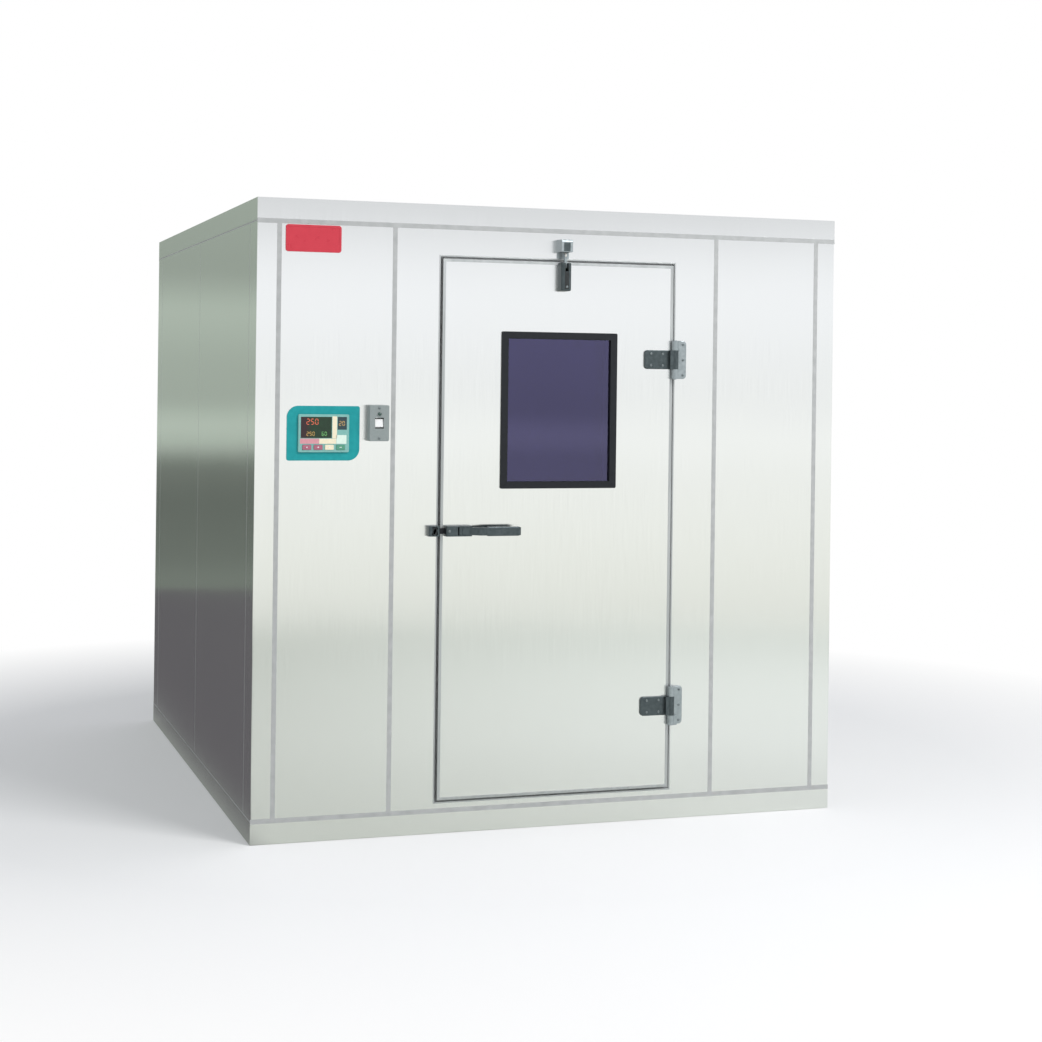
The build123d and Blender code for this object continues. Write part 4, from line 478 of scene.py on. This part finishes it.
for finish, names in wears.items():
    for name in names:
        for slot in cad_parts[name].material_slots:
            slot.material = bpy.data.materials[finish]
bare = sorted(set(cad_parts) - {name for names in wears.values() for name in names})
print("dressed", sum(len(names) for names in wears.values()), "pieces, left for later:", bare)

# %% [markdown]
# Shaping by hand. Each small piece below starts as a primitive at its real size. Then
# faces or edges are picked by where they lie or which way they point, as a hand would
# click them, and an edit tool changes them. These helpers do the clicking.

# %% Helpers for shaping
def start():
    if bpy.context.object and bpy.context.object.mode != "OBJECT":
        bpy.ops.object.mode_set(mode="OBJECT")
    bpy.ops.object.select_all(action="DESELECT")


def settle(name):
    bpy.ops.object.transform_apply(location=True, rotation=True, scale=True)
    bpy.context.object.name = name
    return bpy.context.object


def block(name, low, high):
    start()
    middle = [(a + b) / 2 for a, b in zip(low, high)]
    size = [b - a for a, b in zip(low, high)]
    bpy.ops.mesh.primitive_cube_add(size=1, location=middle, scale=size)
    return settle(name)


def drum(name, centre, radius, length, sides=32, turn=(math.pi / 2, 0, 0)):
    start()
    bpy.ops.mesh.primitive_cylinder_add(vertices=sides, radius=radius, depth=length, location=centre,
                                        rotation=turn)
    return settle(name)


def pick(kind, test):
    bpy.ops.object.mode_set(mode="EDIT")
    bpy.ops.mesh.select_mode(type=kind)
    bpy.ops.mesh.select_all(action="DESELECT")
    mesh = bpy.context.object.data
    shape = bmesh.from_edit_mesh(mesh)
    picked = 0
    for item in shape.faces if kind == "FACE" else shape.edges:
        middle = sum((corner.co for corner in item.verts), Vector()) / len(item.verts)
        way = item.normal if kind == "FACE" else (item.verts[1].co - item.verts[0].co).normalized()
        if test(middle, way):
            item.select_set(True)
            picked += 1
    bmesh.update_edit_mesh(mesh)
    return picked


def soften(width, steps=3):
    bpy.ops.mesh.bevel(offset=width, segments=steps, affect="EDGES")


def wear(piece, finish, body, angle=35):
    start()
    piece.select_set(True)
    bpy.context.view_layer.objects.active = piece
    piece.data.materials.clear()
    piece.data.materials.append(bpy.data.materials[finish])
    bpy.ops.object.shade_smooth_by_angle(angle=math.radians(angle))
    bpy.ops.object.modifier_add(type="WEIGHTED_NORMAL")
    piece.modifiers["WeightedNormal"].keep_sharp = True
    bpy.ops.object.modifier_apply(modifier="WeightedNormal")
    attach(piece, body)
    return piece


print("shaping helpers ready")

# %% [markdown]
# Plates and copies. Most small fittings are flat mouldings with rounded corners and a
# soft front rim, so one helper makes that shape. What repeats is modelled once: each
# copy gets a mesh of its own, and the copies on one body are joined. The shading normals
# are weighted by area when a finish goes on, so flats stay flat and only rims look round.

# %% Helpers for plates and copies
def plate(name, low, high, corner, edge):
    made = block(name, low, high)
    pick("EDGE", lambda at, way: abs(way.y) > 0.9)
    soften(corner, 6)
    pick("EDGE", lambda at, way: at.y < low[1] + 1e-6)
    soften(edge)
    return made


def join(name, pieces):
    start()
    for piece in pieces:
        piece.select_set(True)
    bpy.context.view_layer.objects.active = pieces[0]
    bpy.ops.object.join()
    pieces[0].name = name
    return pieces[0]


def copies(model, name, places, turn=Matrix()):
    made = []
    for place in places:
        twin = bpy.data.objects.new(name, model.data.copy())
        twin.data.transform(Matrix.Translation(place) @ turn)
        bpy.context.scene.collection.objects.link(twin)
        made.append(twin)
    return join(name, made)


def carve(piece, cutter):
    start()
    piece.select_set(True)
    bpy.context.view_layer.objects.active = piece
    bpy.ops.object.modifier_add(type="BOOLEAN")
    piece.modifiers["Boolean"].object = cutter
    bpy.ops.object.modifier_apply(modifier="Boolean")
    bpy.data.objects.remove(cutter)
    return piece


print("plates, copies and cuts ready")

# %% [markdown]
# The enamel plate. At the top left of the front sits a small red plate. It is a stamped
# sheet with round corners, a raised rim and a field sunk by less than a millimetre, under
# glassy enamel. Insetting the front face twice gives rim and field.

# %% Make the enamel plate
skinned("red_enamel", (0.545, 0.036, 0.058), (0.575, 0.040, 0.063), 0.30, 0.00003, 260,
        Specular_IOR_Level=0.35)
enamel_plate = plate("enamel_plate", (-1.038, -1.2836, 2.110), (-0.835, -1.2798, 2.207), 0.010, 0.0008)
pick("FACE", lambda at, way: way.y < -0.99)
bpy.ops.mesh.inset(thickness=0.007)
bpy.ops.mesh.inset(thickness=0.0012, depth=-0.0009)
wear(enamel_plate, "red_enamel", "enclosure")
print("plate faces:", len(enamel_plate.data.polygons))

# %% [markdown]
# Screws. The castings are held by pan-head screws with a cross recess. One head is a
# short cylinder: its front rim is rounded over, and the cross is cut with two small
# tapered bars. Every screw is a copy of it.

# %% Model one screw head
skinned("worn_casting", (0.19, 0.22, 0.23), (0.27, 0.30, 0.31), 0.30, 0.00004, 700, 0.9)
screw = drum("screw", (0, -0.0013, 0), 0.0046, 0.0032, 28)
pick("EDGE", lambda at, way: at.y < -0.0028)
soften(0.0015, 4)
bars = []
for size in ((0.0052, 0.0011), (0.0011, 0.0052)):
    bar = block("bar", (-size[0] / 2, -0.0034, -size[1] / 2), (size[0] / 2, -0.0012, size[1] / 2))
    pick("FACE", lambda at, way: way.y > 0.9)
    bpy.ops.transform.resize(value=(0.6, 1, 0.6))
    bars.append(bar)
for bar in bars:
    screw = carve(screw, bar)
print("screw faces:", len(screw.data.polygons))

# %% Put the screws in
hinge_rows = (1.745, 0.432)
box_x, box_face = -0.696, -1.320
closer_x = 0.010
strap_face, flange_face, rear_face = -1.296, -1.289, 1.280
strap_places = [(x, strap_face, z + dz) for z in hinge_rows for x in (0.364, 0.412) for dz in (-0.022, 0.022)]
latch_places = [(-0.429, -1.322, 1.107), (closer_x, -1.3304, 2.009)]
flange_places = [(0.498, flange_face, z + dz) for z in hinge_rows for dz in (-0.058, 0.0, 0.058)]
box_places = [(box_x, box_face, 1.4455), (box_x, box_face, 1.5545)]
# The screws on the door come first, then those on the room's front and rear, and those
# on the inner flange of the cable port.
wear(copies(screw, "door_screws", strap_places + latch_places), "worn_casting", "door")
wear(copies(screw, "front_screws", flange_places + box_places), "worn_casting", "enclosure")
to_back, to_left = Matrix.Rotation(math.pi, 4, "Z"), Matrix.Rotation(-math.pi / 2, 4, "Z")
louvre_places = [(x, rear_face, z) for x in (-1.045, -0.650) for z in (0.12, 0.60, 1.15, 1.70, 2.18)]
port_x, port_y, port_z = 1.054, -0.950, 1.300
port_corner = (-0.0265, 0.0265)
port_places = [(port_x, port_y + dy, port_z + dz) for dy in port_corner for dz in port_corner]
wear(copies(screw, "louvre_screws", louvre_places, to_back), "bright_zinc", "enclosure")
wear(copies(screw, "port_screws", port_places, to_left), "bright_zinc", "enclosure")
bpy.data.objects.remove(screw)
screw_places = strap_places + latch_places + flange_places + box_places + louvre_places + port_places
print("screws:", len(screw_places))

# %% [markdown]
# The faces of the controls. The instrument has a printed film of coloured fields round
# its displays and keys. Each field is a very thin moulding laid on the bezel. The keys
# are red, cream and green, to go with the fields that they sit in.

# %% Lay the coloured fields
field_colours = {
    "field_pink": ((0.62, 0.27, 0.31), (0.68, 0.31, 0.35)),
    "field_cream": ((0.80, 0.72, 0.52), (0.86, 0.78, 0.58)),
    "field_pale": ((0.66, 0.80, 0.70), (0.72, 0.86, 0.76)),
    "key_red": ((0.36, 0.105, 0.16), (0.42, 0.135, 0.19)),
    "key_green": ((0.065, 0.27, 0.17), (0.085, 0.32, 0.21)),
}
for name, (dark, light) in field_colours.items():
    skinned(name, dark, light, 0.38, 0.00003, 1400, Coat_Weight=0.1)
fields = {
    "field_pink": [(-0.9795, 1.4245, -0.9100, 1.4430)],
    "field_cream": [(-0.9095, 1.4245, -0.8475, 1.4430), (-0.8620, 1.4440, -0.8450, 1.5230)],
    "field_pale": [(-0.8470, 1.4245, -0.8100, 1.4560)],
}
field_front, field_back = -1.2913, -1.2908
for name, spans in fields.items():
    sheets = []
    for x0, z0, x1, z1 in spans:
        sheets.append(plate(name, (x0, field_front, z0), (x1, field_back, z1), 0.0012, 0.00015))
    wear(join(name, sheets), name, "enclosure")
key_finishes = ("key_red", "key_red", "field_cream", "key_green")
for number, finish in enumerate(key_finishes, 1):
    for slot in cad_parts[f"control_key_{number}"].material_slots:
        slot.material = bpy.data.materials[finish]
print("fields:", sum(len(spans) for spans in fields.values()))

# %% [markdown]
# Raised shapes on the keys. A finger finds a key by its shape: a dot, two arrow heads
# and a bar. An arrow head is a cylinder with three sides, and its rim is rounded.

# %% Raise a shape on each key
skinned("mark_white", (0.74, 0.75, 0.74), (0.80, 0.81, 0.80), 0.45, 0.00002, 1600)
key_z, key_face = 1.412, -1.2935
dot = drum("key_1_mark", (-0.9545, key_face - 0.0001, key_z), 0.0024, 0.0006, 24)
up = drum("key_2_mark", (-0.9135, key_face - 0.0001, key_z), 0.0040, 0.0006, 3)
down = drum("key_3_mark", (-0.8725, key_face - 0.0001, key_z), 0.0040, 0.0006, 3, (-math.pi / 2, 0, 0))
line = block("key_4_mark", (-0.8355, key_face - 0.0004, key_z - 0.0011),
             (-0.8275, key_face + 0.0002, key_z + 0.0011))
for number, mark in enumerate((dot, up, down, line), 1):
    start()
    mark.select_set(True)
    bpy.context.view_layer.objects.active = mark
    pick("EDGE", lambda at, way: at.y < key_face - 0.0003)
    soften(0.00018, 2)
    wear(mark, "mark_white", f"key_{number}")
print("marks on", number, "keys")

# %% [markdown]
# Figures on the displays. Both displays build their figures from seven bars. One bar is
# a thin block whose short sides are bevelled so far that its ends come to points. The bars
# glow a little, and they are laid just in front of the lens.

# %% Draw the figures
model_size, figure_front = 0.012, -1.2906
lit = {"0": "abcdef", "2": "abged", "5": "afgcd", "6": "afgedc"}


def figure(model, name, digits, left, low, size, finish):
    w, h = size * 0.50, size
    seats = {"a": (w / 2, h, 0), "b": (w, h * 0.75, 1), "c": (w, h * 0.25, 1), "d": (w / 2, 0, 0),
             "e": (0, h * 0.25, 1), "f": (0, h * 0.75, 1), "g": (w / 2, h / 2, 0)}
    made = []
    for place, digit in enumerate(digits):
        for seat in lit[digit]:
            x, z, upright = seats[seat]
            turn = Matrix.Rotation(math.pi / 2 * upright, 4, "Y") @ Matrix.Scale(size / model_size, 4)
            seat_at = (left + place * size * 0.82 + x, figure_front, low + z)
            made.append(copies(model, name, [seat_at], turn))
    return wear(join(name, made), finish, "enclosure")


bar = block("bar", (-0.0023, -0.00005, -0.0006), (0.0023, 0.00005, 0.0006))
pick("EDGE", lambda at, way: abs(way.y) > 0.9)
soften(0.00055, 1)
start()
glows = {"lit_red": (0.90, 0.16, 0.08), "lit_green": (0.20, 0.62, 0.18), "lit_amber": (0.75, 0.45, 0.12)}
for name, colour in glows.items():
    lamp = plain(name, Roughness=0.4, Emission_Strength=0.35)
    tree = lamp.node_tree
    grain = spread(tree, noise(tree, grain_at(tree, (1, 1, 1)), 900), 0, 1)
    shade = tint(tree, grain, tuple(c * 0.8 for c in colour), colour)
    tree.links.new(shade, shader_of(lamp).inputs["Base Color"])
    tree.links.new(shade, shader_of(lamp).inputs["Emission Color"])
figure(bar, "upper_figures", "250", -0.9550, 1.4940, 0.0190, "lit_red")
figure(bar, "lower_figures", "250", -0.9550, 1.4540, 0.0130, "lit_amber")
figure(bar, "damp_figures", "60", -0.9000, 1.4540, 0.0130, "lit_green")
figure(bar, "side_figures", "20", -0.8370, 1.4900, 0.0150, "lit_amber")
bpy.data.objects.remove(bar)
print("figures drawn")

# %% [markdown]
# The pilot lamp. A small dark lens above the rocker shows that the mains is on. The ring
# is a turned collar: its front is inset and sunk to leave a seat. The lens is half a
# sphere, pressed flat, that fills the seat.

# %% Fit the pilot lamp
pilot_at = Vector((box_x, box_face, 1.5330))
ring = drum("pilot_ring", pilot_at - Vector((0, 0.0006, 0)), 0.0086, 0.0032, 36)
pick("EDGE", lambda at, way: at.y < pilot_at.y - 0.0021)
soften(0.0006, 2)
pick("FACE", lambda at, way: way.y < -0.99)
bpy.ops.mesh.inset(thickness=0.0011)
bpy.ops.mesh.inset(thickness=0.0003, depth=-0.0014)
wear(ring, "box_plastic", "enclosure")
start()
bpy.ops.mesh.primitive_uv_sphere_add(segments=32, ring_count=16, radius=0.0068, location=pilot_at,
                                     scale=(1, 0.45, 1))
lens = settle("pilot_lens")
bpy.ops.object.mode_set(mode="EDIT")
bpy.ops.mesh.select_all(action="SELECT")
bpy.ops.mesh.bisect(plane_co=pilot_at, plane_no=(0, 1, 0), use_fill=True, clear_outer=True)
skinned("pilot_lens", (0.010, 0.045, 0.035), (0.016, 0.062, 0.048), 0.12, 0.00002, 900, Coat_Weight=0.7)
wear(lens, "pilot_lens", "enclosure")
print("pilot lamp", round(lens.dimensions.x * 1000, 1), "mm across")

# %% [markdown]
# Dark trims on the castings. The closer's body has a black cover down its middle, split
# at the top for the arm, and its hook wears a darker cap. The strike hides its fixing
# screws behind a black cover. Each is a thin moulding with round corners and soft rims.

# %% Trim the castings
skinned("trim_black", (0.014, 0.017, 0.018), (0.024, 0.028, 0.029), 0.40, 0.00004, 1200,
        Specular_IOR_Level=0.35)
cover = plate("closer_cover", (0.0018, -1.3308, 2.0005), (0.0182, -1.3298, 2.0965), 0.0016, 0.0003)
cover = carve(cover, block("slot", (0.0042, -1.333, 2.0640), (0.0158, -1.328, 2.100)))
wear(cover, "trim_black", "door")
hook_cap = plate("hook_cap", (-0.0025, -1.3312, 2.1410), (0.0225, -1.3296, 2.1735), 0.0022, 0.0005)
wear(hook_cap, "strap_casting", "enclosure")
strike_cover = plate("strike_cover", (-0.4900, -1.3122, 1.0930), (-0.4730, -1.3106, 1.1210), 0.0020, 0.0006)
pick("FACE", lambda at, way: way.y < -0.99)
bpy.ops.mesh.inset(thickness=0.0022)
bpy.ops.mesh.inset(thickness=0.0004, depth=-0.0004)
wear(strike_cover, "trim_black", "enclosure")
print("trims:", cover.name, hook_cap.name, strike_cover.name)

# %% [markdown]
# Sealant beads. The panels are locked together with a gap between them, and the gap is
# filled from outside with grey sealant, smoothed into a flat bead. One bead is a long
# thin bar with all its edges rounded. At the front and rear the beads stand a little proud
# of the sheets. On the side walls they are wiped flush and only fill the gap.

# %% Run the beads
skinned("bead_grey", (0.36, 0.37, 0.365), (0.43, 0.44, 0.435), 0.50, 0.00010, 260)


def bead(low, high):
    made = block("bead", low, high)
    pick("EDGE", lambda at, way: True)
    soften(0.0004, 2)
    return made


half, lift, sink, lap = 0.0085, 0.0006, 0.0008, 0.0015
front_face, side_face, panel_end = -1.280, 1.140, 1.277
low_z, high_z, gap_half = 0.0825, 2.2175, 0.0024
ends = (low_z + half - lap, high_z - half + lap)
beads = []
for x in (-1.060, -0.635, 0.635, 1.060):
    beads.append(bead((x - half, front_face - lift, ends[0]), (x + half, front_face + sink, ends[1])))
for x in (-1.060, -0.635, 0.2125, 1.060):
    beads.append(bead((x - half, rear_face - sink, ends[0]), (x + half, rear_face + lift, ends[1])))
for side in (-1, 1):
    ys = sorted((side * (rear_face - sink), side * (rear_face + lift + 0.0001)))
    for z in (low_z, high_z):
        beads.append(bead((-side_face, ys[0], z - half), (side_face, ys[1], z + half)))
    flush = sorted((side * 1.1370, side * 1.1398))
    for y in (-1.140, 0.0, 1.140):
        beads.append(bead((flush[0], y - gap_half, low_z), (flush[1], y + gap_half, high_z)))
    for z in (low_z, high_z):
        beads.append(bead((flush[0], -panel_end, z - gap_half), (flush[1], panel_end, z + gap_half)))
wear(join("joint_beads", beads), "bead_grey", "enclosure")
print("beads:", len(beads))

# %% [markdown]
# The edge trims. A folded strip of satin aluminium covers the raw edge of the leaf's face
# sheet, and a narrower one lines the opening. Front and back faces of a thin plate are
# inset, and bridging the two insets opens the middle, which leaves a frame.

# %% Fold the edge trims
skinned("satin_trim", (0.42, 0.435, 0.44), (0.50, 0.515, 0.52), 0.42, 0.00003, 600, 1.0,
        stretch=(1, 1, 0.05))


def border(name, low, high, width):
    made = block(name, low, high)
    pick("FACE", lambda at, way: abs(way.y) > 0.9)
    bpy.ops.mesh.inset(thickness=width, use_individual=True)
    bpy.ops.mesh.bridge_edge_loops()
    pick("EDGE", lambda at, way: at.y < low[1] + 1e-5 and (abs(way.x) > 0.99 or abs(way.z) > 0.99))
    soften(0.0003, 2)
    return made


leaf_trim = border("leaf_trim", (-0.4552, -1.2889, 0.1218), (0.4552, -1.2872, 2.1022), 0.0105)
wear(leaf_trim, "satin_trim", "door")
opening_trim = border("opening_trim", (-0.4682, -1.2808, 0.1088), (0.4682, -1.2794, 2.1152), 0.0052)
wear(opening_trim, "satin_trim", "enclosure")
for made in (leaf_trim, opening_trim):
    print(made.name, [round(v, 3) for v in made.dimensions])

# %% [markdown]
# Wire guards. Each circulation fan blows through a guard of welded wire. The rings are
# toruses. A spoke is a round bar whose two ends are spun through a right angle and drawn
# out into feet, which stand on the baffle.

# %% Weld one fan guard
start()
wires = []
for radius in (0.022, 0.046, 0.070, 0.094, 0.118, 0.134):
    bpy.ops.mesh.primitive_torus_add(major_segments=44, minor_segments=8, major_radius=radius,
                                     minor_radius=0.0017, location=(0, -0.0125, 0),
                                     rotation=(math.pi / 2, 0, 0))
    wires.append(settle("ring"))
spoke = drum("spoke", (0, -0.0095, 0), 0.0019, 0.264, 10, (0, math.pi / 2, 0))
for side in (-1, 1):
    pick("FACE", lambda at, way: way.x * side > 0.9)
    bpy.ops.mesh.spin(steps=5, angle=math.pi / 2 * side, center=(side * 0.132, -0.0045, 0), axis=(0, 0, 1))
    bpy.ops.mesh.extrude_region_move(TRANSFORM_OT_translate={"value": (0, 0.0045, 0)})
start()
for angle in (0, 60, 120):
    wires.append(copies(spoke, "spokes", [(0, 0, 0)], Matrix.Rotation(math.radians(angle), 4, "Y")))
bpy.data.objects.remove(spoke)
guard = join("guard", wires)
ends = sorted(corner.co.y for corner in guard.data.vertices)
print("guard stands", round((ends[-1] - ends[0]) * 1000, 1), "mm deep")

# %% Hang the guards
fan_xs, baffle_y, fan_z = (-0.0975, 0.6025), 0.900, 1.850
guards = copies(guard, "fan_guards", [(x, baffle_y, fan_z) for x in fan_xs])
wear(guards, "bright_zinc", "enclosure", 60)
bpy.data.objects.remove(guard)
print("guards:", [round(v, 3) for v in guards.dimensions])

# %% [markdown]
# Lock covers. The panels are drawn together by cam locks that are turned from inside.
# A round plastic cap with a coin slot closes each lock hole. It is a turned disc with a
# rounded rim and a dished face, and the slot is cut with a bar.

# %% Cap the cam locks
cap = drum("lock_cap", (0, -0.0014, 0), 0.0115, 0.0040, 32)
pick("EDGE", lambda at, way: at.y < -0.0033)
soften(0.0014, 3)
pick("FACE", lambda at, way: way.y < -0.99)
bpy.ops.mesh.inset(thickness=0.0015)
bpy.ops.mesh.inset(thickness=0.0005, depth=-0.0006)
cap = carve(cap, block("coin_slot", (-0.0065, -0.0050, -0.0008), (0.0065, -0.0022, 0.0008)))
heights = (0.45, 1.15, 1.85)
lock_places = [(1.060, y, z) for y in (-1.100, -0.045, 0.045) for z in heights]
caps = copies(cap, "lock_caps", lock_places, to_left)
wear(caps, "port_grey", "enclosure")
bpy.data.objects.remove(cap)
print("lock caps:", len(lock_places))

# %% [markdown]
# Last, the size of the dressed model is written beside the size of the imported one, so
# that the two can be compared, and the scene is handed over.


print("scene built")
